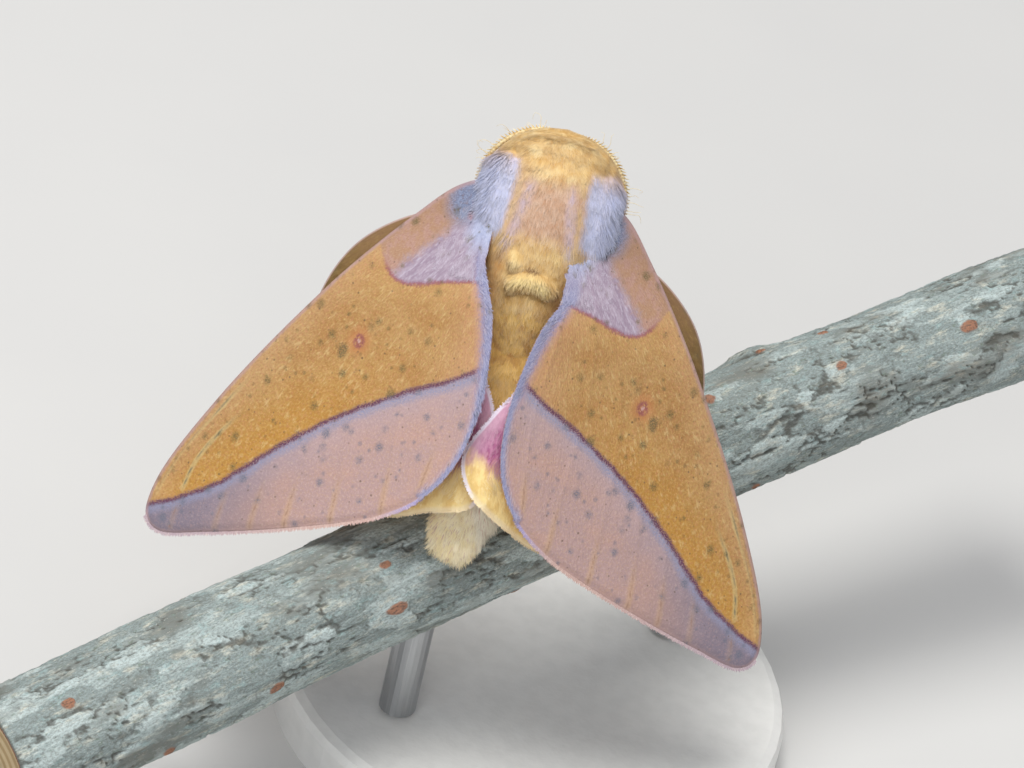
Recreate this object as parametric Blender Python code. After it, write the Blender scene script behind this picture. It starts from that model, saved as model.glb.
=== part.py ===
"""A honey locust moth at rest, head up, on a cut length of twig that a plain display stand carries.

The moth is modelled in its own frame: +Y runs towards its head, +Z out of its back and +X to its right.
An empty pitches that frame head up over the twig. The world's origin is the middle of the stand's foot.
"""

import math
import random

import bmesh
import bpy
from mathutils import Matrix, Vector

MM = 0.001
GAP = 0.3 * MM
CUTTER_SIZE = 40 * MM
SHARP_ANGLE = math.radians(40)

# Stand and twig
BASE_RADIUS = 17 * MM
BASE_THICKNESS = 3.5 * MM
BASE_EDGE = 0.8 * MM
BASE_SIDES = 48
ROD_RADIUS = 1.2 * MM
ROD_SPACING = 22 * MM
ROD_SIDES = 20
TWIG_HEIGHT = 16.5 * MM
TWIG_LENGTH = 84.5 * MM
TWIG_RADIUS = 4.08 * MM
TWIG_BOW = 1.6 * MM
TWIG_TURN = math.radians(42.5)
TWIG_RISE = math.radians(10.4)
TWIG_CHAMFER = 0.35 * MM
TWIG_FACETS = (28, 16)  # along and round
TWIG_KNOTS = (  # place along the twig, place round it, height and reach of each old bud scar
    (-19 * MM, math.radians(35), 0.55 * MM, 2.4 * MM),
    (16 * MM, math.radians(-60), 0.6 * MM, 2.6 * MM),
    (30 * MM, math.radians(80), 0.5 * MM, 2.2 * MM),
)

# Pose
BODY_PITCH = math.radians(51)
TAIL_PLACE_ON_TWIG = -8.7 * MM
TAIL_CLEARANCE = 6.6 * MM
TAIL_DROP = 1.12 * MM
VIEW_PITCH = math.radians(35)
TAIL_END = -19.9 * MM

# Body sections: place along the body, half width, half height, height of the middle.
# Each body part's facets are counted along it and round it.
HEAD_FACETS = (10, 18)
THORAX_FACETS = (12, 20)
ABDOMEN_FACETS = (12, 16)
BODY_SWAY = 0.45 * MM  # how far the thorax and head lie to the right of the wings' ridge
SWAY_REACH = (-16 * MM, -3 * MM)
HEAD_SECTIONS = (
    (8.2 * MM, 0.4 * MM, 0.4 * MM, -0.8 * MM),
    (8.0 * MM, 1.2 * MM, 1.0 * MM, -0.8 * MM),
    (7.5 * MM, 2.1 * MM, 1.9 * MM, -0.9 * MM),
    (6.6 * MM, 2.7 * MM, 2.6 * MM, -1.2 * MM),
    (5.5 * MM, 2.8 * MM, 2.8 * MM, -1.5 * MM),
    (4.3 * MM, 2.4 * MM, 2.4 * MM, -1.7 * MM),
    (3.4 * MM, 1.8 * MM, 1.8 * MM, -1.7 * MM),
)
THORAX_SECTIONS = (
    (7.25 * MM, 0.6 * MM, 0.5 * MM, 1.0 * MM),
    (7.0 * MM, 1.8 * MM, 1.4 * MM, 1.0 * MM),
    (6.4 * MM, 3.1 * MM, 2.3 * MM, 0.7 * MM),
    (5.5 * MM, 3.9 * MM, 3.0 * MM, 0.3 * MM),
    (4.2 * MM, 4.3 * MM, 3.6 * MM, 0.0 * MM),
    (1.5 * MM, 4.1 * MM, 4.0 * MM, -0.2 * MM),
    (-1.6 * MM, 3.6 * MM, 3.7 * MM, -0.3 * MM),
    (-4.0 * MM, 3.0 * MM, 3.1 * MM, -0.4 * MM),
    (-6.0 * MM, 2.2 * MM, 2.2 * MM, -0.4 * MM),
)
ABDOMEN_SECTIONS = (
    (-2.6 * MM, 2.0 * MM, 1.8 * MM, -0.6 * MM),
    (-4.4 * MM, 2.9 * MM, 2.5 * MM, -0.6 * MM),
    (-7.0 * MM, 3.2 * MM, 2.4 * MM, -0.7 * MM),
    (-9.5 * MM, 3.2 * MM, 2.3 * MM, -0.8 * MM),
    (-12.0 * MM, 2.9 * MM, 2.2 * MM, -0.8 * MM),
    (-14.5 * MM, 2.4 * MM, 1.9 * MM, -0.8 * MM),
    (-16.8 * MM, 1.7 * MM, 1.4 * MM, -0.7 * MM),
    (-18.2 * MM, 1.0 * MM, 0.9 * MM, -0.6 * MM),
)
TEGULA_CENTRE = Vector((2.7, 3.1, 1.5)) * MM
TEGULA_RADII = Vector((1.35, 3.3, 1.9)) * MM
TEGULA_TURN = math.radians(-6)
TEGULA_FACETS = (14, 10)  # round and along
WAIST_CUT = (Vector((0, -4.6 * MM, 0)), Vector((0, 1, 0.45)).normalized())
TUFT_CUT = (Vector((0, -16.6 * MM, 0)), Vector((0, 1, 0)))

# Coat: rows of locks, as place along the body and degrees round from the middle of the back
COAT_SEED = 7
LOCK_SIDES = 4
LOCK_LENGTH = 1.9 * MM
LOCK_WIDTH = 1.35 * MM
LOCK_THICKNESS = 0.5 * MM
LOCK_CLEARANCE = 1.25 * MM
LEG_CLEARANCE = 1.6 * MM
FLAT_LIFT = 0.24
BACK_LIFT = 0.28
THORAX_CROWN = Vector((0, 7.6, 1.6)) * MM
THORAX_COAT = (
    (5.2 * MM, (-60, -30, 0, 30, 60)),
    (3.9 * MM, (-92, -66, -40, -14, 14, 40, 66, 92, 145, 180, -145)),
    (2.5 * MM, (-104, -78, -26, 0, 26, 78, 104, 130, -130)),
    (1.1 * MM, (-92, -42, -15, 15, 42, 92, 120, 165, -165, -120)),
    (-0.4 * MM, (-106, -28, 0, 28, 106, 135, 180, -135)),
    (-2.1 * MM, (-96, -40, -13, 13, 40, 96, 124, 165, -165, -124)),
    (-3.5 * MM, (-110, -26, 0, 26, 110, 145, 180, -145)),
)
CREST_PLACE = -2.1 * MM
CREST_REACH = 1.2 * MM
CREST_FLOOR = 1.5 * MM
CREST_LIFT = 0.55
HEAD_CROWN = Vector((0, 4.9, 1.9)) * MM
HEAD_COAT = (
    (7.8 * MM, (-50, 0, 50, 100, -100, 150, -150)),
    (7.3 * MM, (-62, -22, 22, 62, 118, 175, -118)),
    (6.8 * MM, (-40, -4, 32, 130, 160, -160, -130)),
)
HEAD_LOCK_LENGTH = 1.25 * MM
PALP_PATH = (
    Vector((0.5, 6.3, -3.1)) * MM,
    Vector((0.6, 7.2, -3.4)) * MM,
    Vector((0.55, 7.85, -2.9)) * MM,
)
PALP_RADII = (0.4 * MM, 0.42 * MM, 0.4 * MM, 0.35 * MM, 0.2 * MM)
PALP_SIDES = 7
ABDOMEN_COAT = (
    (-6.0 * MM, (-130, -95, -30, 0, 30, 95, 130, 180)),
    (-8.0 * MM, (-150, -112, -75, -10, 10, 75, 112, 150)),
    (-10.0 * MM, (-130, -92, 92, 130, 180)),
    (-12.0 * MM, (-150, -110, 110, 150)),
    (-14.0 * MM, (-130, -90, 90, 130, 180)),
)
TUFT_SECTIONS = (  # place along the body, half width and half height of the tuft's core
    (-16.2 * MM, 1.5 * MM, 1.15 * MM),
    (-17.4 * MM, 1.6 * MM, 1.1 * MM),
    (-18.6 * MM, 1.1 * MM, 0.7 * MM),
)
TUFT_HEIGHT = -0.4 * MM
TUFT_SIDES = 14
TUFT_FAN = Vector((0, -13.2, -0.3)) * MM
TUFT_LOCKS = 22
TUFT_ROOTS = (1.25 * MM, -17.5 * MM, 0.75 * MM)  # half width, place and half height of the ring of roots
TUFT_ROW_STEP = 0.6 * MM
TUFT_LOCK_LENGTH = 2.5 * MM
TUFT_LOCK_WIDTH = 0.95 * MM

# Eyes and feelers
EYE_RADIUS = 1.15 * MM
EYE_FACETS = (14, 8)  # round and along
EYE_PLACE = Vector((2.1 * MM, 6.3 * MM, -2.0 * MM))
FEELER_PATH = (
    Vector((0.8, 7.1, 0.1)) * MM,
    Vector((1.9, 7.35, -0.1)) * MM,
    Vector((3.2, 6.65, -0.45)) * MM,
    Vector((4.15, 5.7, -1.0)) * MM,
    Vector((4.6, 4.4, -1.7)) * MM,
    Vector((4.6, 3.1, -2.5)) * MM,
)
FEELER_RADIUS = 0.27 * MM
FEELER_POINTS = 13
FEELER_SIDES = 6
BARB_PAIRS = 9
BARB_LENGTH = 1.05 * MM
BARB_RADIUS = 0.17 * MM
BARB_TAPER = (1.2, 0.9, 0.4)
BARB_CURL = 0.25
BARB_ROWS = ((0.38, -0.1), (0.3, -0.75))  # how far each row leans outwards and upwards

# Wings, as points of the flat wing: distance out from the ridge over the back, and place along the body.
# The outlines are in millimetres.
ROOF_ANGLE = math.radians(32)
ROOF_EDGE = 0.9 * MM
ROOF_HEIGHT = 4.9 * MM
ROOF_FALL = 0.04
ROOF_CAMBER = 0.0020 / MM
WING_THICKNESS = 0.5 * MM
WING_STEP = 1.25 * MM
WING_ROOT_DIP = 1.6 * MM
WING_ROOT_REACH = (-3.5 * MM, 3.5 * MM)
VEIN_HEIGHT = 0.1 * MM
FORE_SPANS = 20
FORE_CHORDS = 14
HIND_SPANS = 14
HIND_CHORDS = 12
EDGE_POINTS = 400
FORE_OUTLINE = {
    "costa": ((1.9, 3.9), (4.8, 3.6), (7.7, 1.05), (13.2, -5.1), (19.0, -12.85), (22.2, -18.7)),
    "outer": ((22.35, -21.0), (21.2, -21.8), (17.6, -21.3), (10.1, -19.6), (5.0, -18.0)),
    "inner": ((2.3, -16.3), (0.65, -14.0), (0.05, -10.6), (0.7, -5.2), (2.2, -1.2)),
    "root": ((1.9, -0.3), (1.9, 1.8)),
}
HIND_OUTLINE = {
    "costa": ((2.4, 1.0), (5.0, 1.5), (7.9, 1.0), (11.3, -1.2), (13.0, -4.0), (13.7, -8.0)),
    "outer": ((13.5, -11.8), (11.4, -15.6), (8.0, -17.6), (4.6, -17.9), (1.9, -17.1)),
    "inner": ((-0.9, -15.6), (-2.0, -13.4), (-1.1, -10.6), (0.4, -7.8), (1.7, -4.8)),
    "root": ((2.0, -2.6), (2.2, -1.0)),
}
RIGHT_HIND_COSTA = ((2.4, 1.0), (5.0, 1.3), (8.3, 0.9), (12.0, -1.6), (13.6, -4.6), (14.0, -8.0))
LEFT_HIND_INNER = ((-1.0, -16.2), (-1.3, -13.4), (-1.1, -10.6), (0.2, -7.9), (1.7, -4.8))
LEFT_HIND_DROP = 1.0 * MM
LEFT_DROP_REACH = 4 * MM

# Legs: hip, foot place along the twig and degrees round it, lengths of femur and shin, and the knee's way.
# The plan is in millimetres.
LEG_PLAN = {
    "foreleg_right": (Vector((1.5, 3.6, -3.0)), 6.3, -30, 5.6, 5.2, (0.9, 0.5, -0.2)),
    "midleg_right": (Vector((1.8, 0.9, -3.4)), 3.2, -35, 4.9, 5.0, (0.9, 0.3, -0.2)),
    "hindleg_right": (Vector((1.6, -1.9, -3.1)), 0.0, -20, 4.4, 4.8, (0.9, 0.2, -0.3)),
    "midleg_left": (Vector((-1.8, 0.9, -3.4)), -2.6, -38, 5.4, 5.6, (-0.9, 0.6, -0.1)),
    "hindleg_left": (Vector((-1.6, -1.9, -3.1)), -6.6, -26, 5.0, 5.4, (-0.9, -0.3, -0.3)),
}
TUCKED_FORELEG = (
    Vector((-1.3, 2.9, -3.1)) * MM,
    Vector((-2.0, 3.5, -5.2)) * MM,
    Vector((-2.6, 4.0, -6.9)) * MM,
    Vector((-1.9, 2.9, -7.4)) * MM,
    Vector((-1.1, 1.0, -7.5)) * MM,
    Vector((-0.7, -0.8, -7.3)) * MM,
    Vector((-0.5, -2.6, -7.5)) * MM,
)
FOOT_CLEARANCE = 0.6 * MM
ANKLE_HEIGHT = 1.0 * MM
ANKLE_TURN = 0.12
TOE_STEP = 0.55
TOE_TURN = -0.26
TOE_POINTS = 4
STRAIGHTEST_LEG = 0.985
LEG_POINTS = 20
TUCKED_POINTS = 18
LEG_SIDES = 7
LEG_UP = Vector((0.3, 1, 0.2)).normalized()
KNEE_SHARE = 0.30
ANKLE_SHARE = 0.62
FEMUR_RADIUS = 0.62 * MM
SHIN_RADIUS = 0.46 * MM
FOOT_RADIUS = 0.30 * MM
FOOT_BEAD = 0.04 * MM
TOE_RADIUS = 0.22 * MM

COLOURS = {
    "bark": ((0.36, 0.35, 0.30), 0.9),
    "stand": ((0.82, 0.81, 0.78), 0.5),
    "steel": ((0.55, 0.56, 0.57), 0.35),
    "gold_coat": ((0.78, 0.50, 0.16), 0.8),
    "pale_coat": ((0.85, 0.68, 0.34), 0.8),
    "wing_ochre": ((0.72, 0.42, 0.13), 0.7),
    "wing_rose": ((0.72, 0.45, 0.42), 0.7),
    "eye": ((0.05, 0.03, 0.02), 0.2),
    "feeler": ((0.62, 0.48, 0.26), 0.7),
    "leg": ((0.50, 0.28, 0.25), 0.7),
}


def material(name):
    """The named finish, made once."""
    made = bpy.data.materials.get(name)
    if made is None:
        colour, roughness = COLOURS[name]
        made = bpy.data.materials.new(name)
        made.use_nodes = True
        shader = made.node_tree.nodes["Principled BSDF"]
        shader.inputs["Base Color"].default_value = (*colour, 1)
        shader.inputs["Roughness"].default_value = roughness
        shader.inputs["Metallic"].default_value = 1.0 if name == "steel" else 0.0
    return made


def object_of(name, mesh, finish, parent=None):
    """A bmesh turned into a named, smooth-shaded object."""
    bmesh.ops.recalc_face_normals(mesh, faces=mesh.faces)
    data = bpy.data.meshes.new(name)
    mesh.to_mesh(data)
    mesh.free()
    data.shade_smooth()
    data.set_sharp_from_angle(angle=SHARP_ANGLE)
    made = bpy.data.objects.new(name, data)
    bpy.context.scene.collection.objects.link(made)
    data.materials.append(material(finish))
    made.parent = parent
    return made


def smooth_path(points, count):
    """Count points along a smooth curve through the given ones, spaced by their chord lengths."""
    points = [Vector(point) for point in points]
    points = [2 * points[0] - points[1], *points, 2 * points[-1] - points[-2]]
    knots = [0.0]
    for first, second in zip(points, points[1:]):
        knots.append(knots[-1] + math.sqrt((second - first).length))
    last = len(points) - 2
    found = []
    for step in range(count):
        place = knots[1] + (knots[last] - knots[1]) * step / (count - 1)
        i = max(1, min(last - 1, next(k for k in range(1, last + 1) if knots[k + 1] > place or k == last)))
        t = (place - knots[i]) / (knots[i + 1] - knots[i])
        before, start, end, after = points[i - 1 : i + 3]
        wide = knots[i + 1] - knots[i]
        leave = wide * (
            (start - before) / (knots[i] - knots[i - 1])
            - (end - before) / (knots[i + 1] - knots[i - 1])
            + (end - start) / wide
        )
        arrive = wide * (
            (end - start) / wide
            - (after - start) / (knots[i + 2] - knots[i])
            + (after - end) / (knots[i + 2] - knots[i + 1])
        )
        found.append(
            (2 * t**3 - 3 * t**2 + 1) * start
            + (t**3 - 2 * t**2 + t) * leave
            + (3 * t**2 - 2 * t**3) * end
            + (t**3 - t**2) * arrive
        )
    return found


def lofted(sections, sides, pointed=False):
    """A closed skin through ovals, each given as the matrix that carries a unit circle there."""
    mesh = bmesh.new()
    loops = []
    for matrix in sections:
        ring = bmesh.ops.create_circle(mesh, segments=sides, radius=1, matrix=matrix)["verts"]
        loops.append([edge for edge in mesh.edges if all(end in ring for end in edge.verts)])
    for first, second in zip(loops, loops[1:]):
        bmesh.ops.bridge_loops(mesh, edges=first + second)
    bmesh.ops.holes_fill(mesh, edges=loops[0] + loops[-1])
    if pointed:
        bmesh.ops.pointmerge(mesh, verts=ring, merge_co=sections[-1].translation)
    bmesh.ops.triangulate(mesh, faces=mesh.faces)
    return mesh


def tube_sections(path, half_widths, half_heights, up):
    """Oval matrices along a path, each square to it, with their short side towards up."""
    sections = []
    for i, place in enumerate(path):
        along = (path[min(i + 1, len(path) - 1)] - path[max(i - 1, 0)]).normalized()
        side = up.cross(along).normalized()
        top = along.cross(side)
        turn = Matrix((side, top, along)).transposed().to_4x4()
        size = Matrix.Diagonal((half_widths[i], half_heights[i], 1, 1))
        sections.append(Matrix.Translation(place) @ turn @ size)
    return sections


def section_at(sections, place):
    """Half width, half height and middle height of a body part at one place along it."""
    ordered = sorted(sections)
    place = min(max(place, ordered[0][0]), ordered[-1][0])
    i = next(k for k in range(1, len(ordered)) if place <= ordered[k][0])
    low, high = ordered[i - 1], ordered[i]
    t = (place - low[0]) / (high[0] - low[0])
    t = t * t * (3 - 2 * t)
    return tuple(low[k] + (high[k] - low[k]) * t for k in (1, 2, 3))


def sway(place):
    """How far the body's middle line lies to the right here."""
    back, front = SWAY_REACH
    near = min(max((place - back) / (front - back), 0), 1)
    return BODY_SWAY * near * near * (3 - 2 * near)


def mirrored(path, side):
    """A path of the thorax or head, given for the right side, on either side of the middle line."""
    return [Vector((BODY_SWAY + side * point.x, point.y, point.z)) for point in path]


def body_point(sections, place, turn, out=0.0):
    """A point of a body part's side, turned from the middle of its back towards the right."""
    half_width, half_height, middle = section_at(sections, place)
    across = sway(place) + (half_width + out) * math.sin(turn)
    return Vector((across, place, middle + (half_height + out) * math.cos(turn)))


def body_normal(sections, place, turn):
    """The way out of the skin at one point, from its neighbours."""
    step = 0.2 * MM
    along = body_point(sections, place - step, turn) - body_point(sections, place + step, turn)
    across = body_point(sections, place, turn + 0.05) - body_point(sections, place, turn - 0.05)
    return across.cross(along).normalized() * -1


def trunk(sections, steps, sides, out=0.0):
    """The closed, smooth skin of a body part, grown by out."""
    first, last = sections[0][0], sections[-1][0]
    matrices = []
    for step in range(steps + 1):
        share = 0.5 - 0.5 * math.cos(math.pi * step / steps)
        place = first + (last - first) * share
        half_width, half_height, middle = section_at(sections, place)
        place += math.copysign(out, first - last) * math.cos(math.pi * share)
        matrix = Matrix.Translation((sway(place), place, middle)) @ Matrix.Rotation(math.pi / 2, 4, "X")
        matrices.append(matrix @ Matrix.Diagonal((half_width + out, half_height + out, 1, 1)))
    return lofted(matrices, sides)


def lock(root, along, normal, length, width, thickness, lift=0.25, droop=0.2):
    """A flat, tapered lock of coat: rooted under the skin, rising a little and bending back to it."""
    side = normal.cross(along).normalized()
    along = side.cross(normal).normalized()
    shares = (-0.2, 0.25, 0.62, 1.0)
    path = [root + length * (t * along + (lift * t - droop * t * t) * normal) for t in shares]
    half_widths = [0.36 * width, 0.5 * width, 0.38 * width, 0.02 * width]
    half_heights = [0.42 * thickness, 0.5 * thickness, 0.36 * thickness, 0.02 * thickness]
    return lofted(tube_sections(path, half_widths, half_heights, normal), LOCK_SIDES, pointed=True)


def coat(sections, rows, flow, length, avoid, seed):
    """Rows of locks over a body part, combed along the flow and clear of what they avoid."""
    draw = random.Random(seed)
    locks = []
    for place, turns in rows:
        for turn in turns:
            here = place + draw.uniform(-0.15, 0.15) * MM
            around = math.radians(turn + draw.uniform(-4, 4))
            root = body_point(sections, here, around)
            normal = body_normal(sections, here, around)
            along, lift = flow(root)
            grown = length * draw.uniform(0.85, 1.15)
            tip = root + grown * ((along - along.dot(normal) * normal).normalized() + 0.2 * normal)
            spots = [root.lerp(tip, share) for share in (0.1, 0.5, 1.0)]
            if any((spot - place_kept).length < reach for spot in spots for place_kept, reach in avoid):
                continue
            width = LOCK_WIDTH * draw.uniform(0.85, 1.15) * min(1, length / LOCK_LENGTH)
            thickness = LOCK_THICKNESS * min(1, length / LOCK_LENGTH)
            locks.append(lock(root, along, normal, grown, width, thickness, lift))
    return locks


def fused(name, core, pieces, finish, parent=None, cutters=(), solver="EXACT"):
    """Core and pieces joined into one closed body, less the cutters."""
    made = object_of(name, core, finish, parent)
    for operation, meshes in (("UNION", pieces), ("DIFFERENCE", cutters)):
        if not meshes:
            continue
        helpers = bpy.data.collections.new(f"{name}_{operation}")
        for i, mesh in enumerate(meshes):
            helper = object_of(f"{name}_{operation}_{i}", mesh, finish, parent)
            bpy.context.scene.collection.objects.unlink(helper)
            helpers.objects.link(helper)
        bpy.context.scene.collection.children.link(helpers)
        boolean = made.modifiers.new(operation, "BOOLEAN")
        boolean.operation = operation
        boolean.operand_type = "COLLECTION"
        boolean.collection = helpers
        boolean.solver = solver
        bpy.context.view_layer.update()
        evaluated = made.evaluated_get(bpy.context.evaluated_depsgraph_get())
        result = bpy.data.meshes.new_from_object(evaluated)
        made.modifiers.clear()
        made.data = result
        for helper in list(helpers.objects):
            bpy.data.objects.remove(helper)
        bpy.data.collections.remove(helpers)
    keep_largest_surface(made)
    return made


def keep_largest_surface(made):
    """Drops every loose scrap and sealed hollow that the Booleans left."""
    mesh = bmesh.new()
    mesh.from_mesh(made.data)
    bmesh.ops.triangulate(mesh, faces=mesh.faces)
    left = set(mesh.faces)
    surfaces = []
    while left:
        todo = [left.pop()]
        surface = set(todo)
        while todo:
            for edge in todo.pop().edges:
                for face in edge.link_faces:
                    if face in left:
                        left.discard(face)
                        surface.add(face)
                        todo.append(face)
        surfaces.append(surface)
    largest = max(surfaces, key=lambda faces: sum(face.calc_area() for face in faces))
    spare = [face for face in mesh.faces if face not in largest]
    bmesh.ops.delete(mesh, geom=spare, context="FACES")
    mesh.to_mesh(made.data)
    mesh.free()
    made.data.shade_smooth()
    made.data.set_sharp_from_angle(angle=SHARP_ANGLE)


def half_space(cut, keep_front):
    """A large block over the side of a parting plane that isn't kept, half the gap off it."""
    place, normal = cut
    away = -normal if keep_front else normal
    mesh = bmesh.new()
    turn = away.to_track_quat("Z", "Y").to_matrix().to_4x4()
    centre = place + away * (CUTTER_SIZE / 2 - GAP / 2)
    bmesh.ops.create_cube(mesh, size=CUTTER_SIZE, matrix=Matrix.Translation(centre) @ turn)
    return mesh


def twig_axes():
    """The ways along the twig, out of its top and out of its far side."""
    along = Vector(
        (
            math.cos(TWIG_RISE) * math.cos(TWIG_TURN),
            math.cos(TWIG_RISE) * math.sin(TWIG_TURN),
            math.sin(TWIG_RISE),
        )
    )
    top = (Vector((0, 0, 1)) - along.z * along).normalized()
    return along, top, along.cross(top)


def twig_centre(place):
    """A point of the twig's gently bowed middle line."""
    along, top, _ = twig_axes()
    bow = TWIG_BOW * (1 - (2 * place / TWIG_LENGTH) ** 2)
    return Vector((0, 0, TWIG_HEIGHT)) + place * along + bow * top


def twig_radius(place, turn):
    """The bark's distance from the middle line, with its long ribs and its knots."""
    ribs = 0.10 * math.sin(3 * turn + 60 * place) + 0.07 * math.sin(7 * turn - 190 * place)
    swell = 0.08 * math.sin(170 * place + 1) + 0.05 * math.sin(410 * place)
    radius = TWIG_RADIUS + (ribs + swell) * MM
    for knot_place, knot_turn, height, reach in TWIG_KNOTS:
        around = (turn - knot_turn + math.pi) % (2 * math.pi) - math.pi
        far = math.hypot(place - knot_place, around * TWIG_RADIUS) / reach
        radius += height * math.exp(-2 * far * far)
    return radius


def twig_point(place, turn, out=0.0):
    """A point on the bark, turned from its top towards the camera's side, and out from it."""
    _, top, back = twig_axes()
    spoke = math.cos(turn) * top + math.sin(turn) * back
    return twig_centre(place) + (twig_radius(place, turn) + out) * spoke


def twig_mesh(steps, sides, out=0.0):
    """The closed twig with chamfered ends, grown by out."""
    half = TWIG_LENGTH / 2
    places = [-half, -half + TWIG_CHAMFER]
    places += [-half + TWIG_LENGTH * step / steps for step in range(1, steps)]
    places += [half - TWIG_CHAMFER, half]
    mesh = bmesh.new()
    rings = []
    for i, place in enumerate(places):
        inset = TWIG_CHAMFER if i in (0, len(places) - 1) else 0
        ring = [
            mesh.verts.new(twig_point(place, 2 * math.pi * k / sides, out - inset)) for k in range(sides)
        ]
        rings.append(ring)
    for first, second in zip(rings, rings[1:]):
        for k in range(sides):
            n = (k + 1) % sides
            mesh.faces.new((first[k], first[n], second[n], second[k]))
    mesh.faces.new(rings[0])
    mesh.faces.new(rings[-1])
    bmesh.ops.triangulate(mesh, faces=mesh.faces)
    return mesh


def make_stand():
    """The round base, and two rods whose tops are cut to the twig."""
    base = bmesh.new()
    bmesh.ops.create_cone(
        base,
        cap_ends=True,
        segments=BASE_SIDES,
        radius1=BASE_RADIUS,
        radius2=BASE_RADIUS,
        depth=BASE_THICKNESS,
        matrix=Matrix.Translation((0, 0, BASE_THICKNESS / 2)),
    )
    rims = [
        edge
        for edge in base.edges
        if edge.verts[0].co.z == edge.verts[1].co.z and edge.verts[0].co.z > BASE_THICKNESS / 2
    ]
    bmesh.ops.bevel(
        base, geom=rims, offset=BASE_EDGE, segments=2, profile=0.5, affect="EDGES", material=-1
    )
    bmesh.ops.triangulate(base, faces=base.faces)
    object_of("stand_base", base, "stand")
    along, _, _ = twig_axes()
    level = Vector((along.x, along.y, 0)).normalized()
    for name, side in (("stand_rod_left", -1), ("stand_rod_right", 1)):
        foot = side * level * ROD_SPACING / 2 + Vector((0, 0, BASE_THICKNESS + GAP))
        top = TWIG_HEIGHT + side * ROD_SPACING / 2 * math.tan(TWIG_RISE)
        depth = top - foot.z
        rod = bmesh.new()
        bmesh.ops.create_cone(
            rod,
            cap_ends=True,
            segments=ROD_SIDES,
            radius1=ROD_RADIUS,
            radius2=ROD_RADIUS,
            depth=depth,
            matrix=Matrix.Translation(foot + Vector((0, 0, depth / 2))),
        )
        fused(name, rod, (), "steel", cutters=[twig_mesh(*TWIG_FACETS, GAP)])


def make_twig():
    object_of("perch_twig", twig_mesh(*TWIG_FACETS), "bark")


def place_moth():
    """The empty that carries the moth: its tail rests on the camera's side of the twig."""
    into_view = Vector((0, math.cos(VIEW_PITCH), -math.sin(VIEW_PITCH)))
    forward = Vector((0, math.cos(BODY_PITCH), math.sin(BODY_PITCH)))
    up_view = Vector((0, math.sin(VIEW_PITCH), math.cos(VIEW_PITCH)))
    tail = twig_centre(TAIL_PLACE_ON_TWIG) - TAIL_CLEARANCE * into_view - TAIL_DROP * up_view
    moth = bpy.data.objects.new("moth_pose", None)
    bpy.context.scene.collection.objects.link(moth)
    moth.rotation_euler = (BODY_PITCH, 0, 0)
    moth.location = tail - TAIL_END * forward
    bpy.context.view_layer.update()
    return moth


def wing_height(out, place, side, hind):
    """How far the wing's middle surface stands above the body's axis at a point of the flat wing."""
    fall = math.sin(ROOF_ANGLE) * max(out, 0) + ROOF_CAMBER * max(out, 0) ** 2
    height = ROOF_HEIGHT - fall + ROOF_FALL * (place + 9 * MM)
    back, front = WING_ROOT_REACH
    near = min(max((place - back) / (front - back), 0), 1)
    height -= WING_ROOT_DIP * near * near * (3 - 2 * near)
    if hind:
        height -= WING_STEP
        if side < 0:
            near = max(0.0, 1 - max(out, 0) / LEFT_DROP_REACH)
            height -= LEFT_HIND_DROP * near * near * (3 - 2 * near)
    return height


def wing_point(out, place, side, hind):
    """The flat wing's point laid on the roof over the back."""
    across = ROOF_EDGE + out * (math.cos(ROOF_ANGLE) if out > 0 else 1.0)
    return Vector((side * across, place, wing_height(out, place, side, hind)))


def wing_patch(outline, spans, chords):
    """Rows of flat wing points that fill the outline, from root to outer edge and costa to inner edge."""
    order = ("costa", "outer", "inner", "root")
    corners = {part: Vector((*outline[part][0], 0)) * MM for part in order}
    edges = {}
    for part, following in zip(order, order[1:] + order[:1]):
        before = outline[order[order.index(part) - 1]][-1]
        after = outline[following][1]
        points = [before, *outline[part], outline[following][0], after]
        points = [Vector((*point, 0)) * MM for point in points]
        dense = smooth_path(points, EDGE_POINTS)
        start = min(range(EDGE_POINTS), key=lambda k: (dense[k] - points[1]).length)
        end = min(range(EDGE_POINTS), key=lambda k: (dense[k] - points[-2]).length)
        edges[part] = dense[start : end + 1]

    def along(part, share, backwards=False):
        edge = edges[part][::-1] if backwards else edges[part]
        lengths = [0.0]
        for first, second in zip(edge, edge[1:]):
            lengths.append(lengths[-1] + (second - first).length)
        wanted = share * lengths[-1]
        i = next((k for k in range(1, len(edge)) if lengths[k] >= wanted), len(edge) - 1)
        t = (wanted - lengths[i - 1]) / max(lengths[i] - lengths[i - 1], 1e-12)
        return edge[i - 1].lerp(edge[i], t)

    grid = []
    for i in range(spans + 1):
        u = i / spans
        front, back = along("costa", u), along("inner", u, backwards=True)
        row = []
        for j in range(chords + 1):
            v = j / chords
            root, rim = along("root", v, backwards=True), along("outer", v)
            flat = (
                (1 - v) * front
                + v * back
                + (1 - u) * root
                + u * rim
                - (1 - u) * (1 - v) * corners["costa"]
                - u * (1 - v) * corners["outer"]
                - (1 - u) * v * corners["root"]
                - u * v * corners["inner"]
            )
            row.append((flat.x, flat.y))
        grid.append(row)
    return grid


def rim_places(spans, chords):
    """The row and column of each point on the grid's rim, in order round it."""
    rim = [(0, j) for j in range(chords)] + [(i, chords) for i in range(spans)]
    return rim + [(spans, j) for j in range(chords, 0, -1)] + [(i, 0) for i in range(spans, 0, -1)]


def widened(grid, out):
    """The grid with its rim moved outwards in the wing's plane."""
    wide = [[Vector(point) for point in row] for row in grid]
    rim = rim_places(len(grid) - 1, len(grid[0]) - 1)
    around = [Vector(grid[i][j]) for i, j in rim]
    area = sum(a.cross(b) for a, b in zip(around, around[1:] + around[:1]))
    for k, (i, j) in enumerate(rim):
        tangent = (around[(k + 1) % len(rim)] - around[k - 1]).normalized()
        outwards = Vector((tangent.y, -tangent.x)) * math.copysign(1, area)
        wide[i][j] += out * outwards
    return wide


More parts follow.
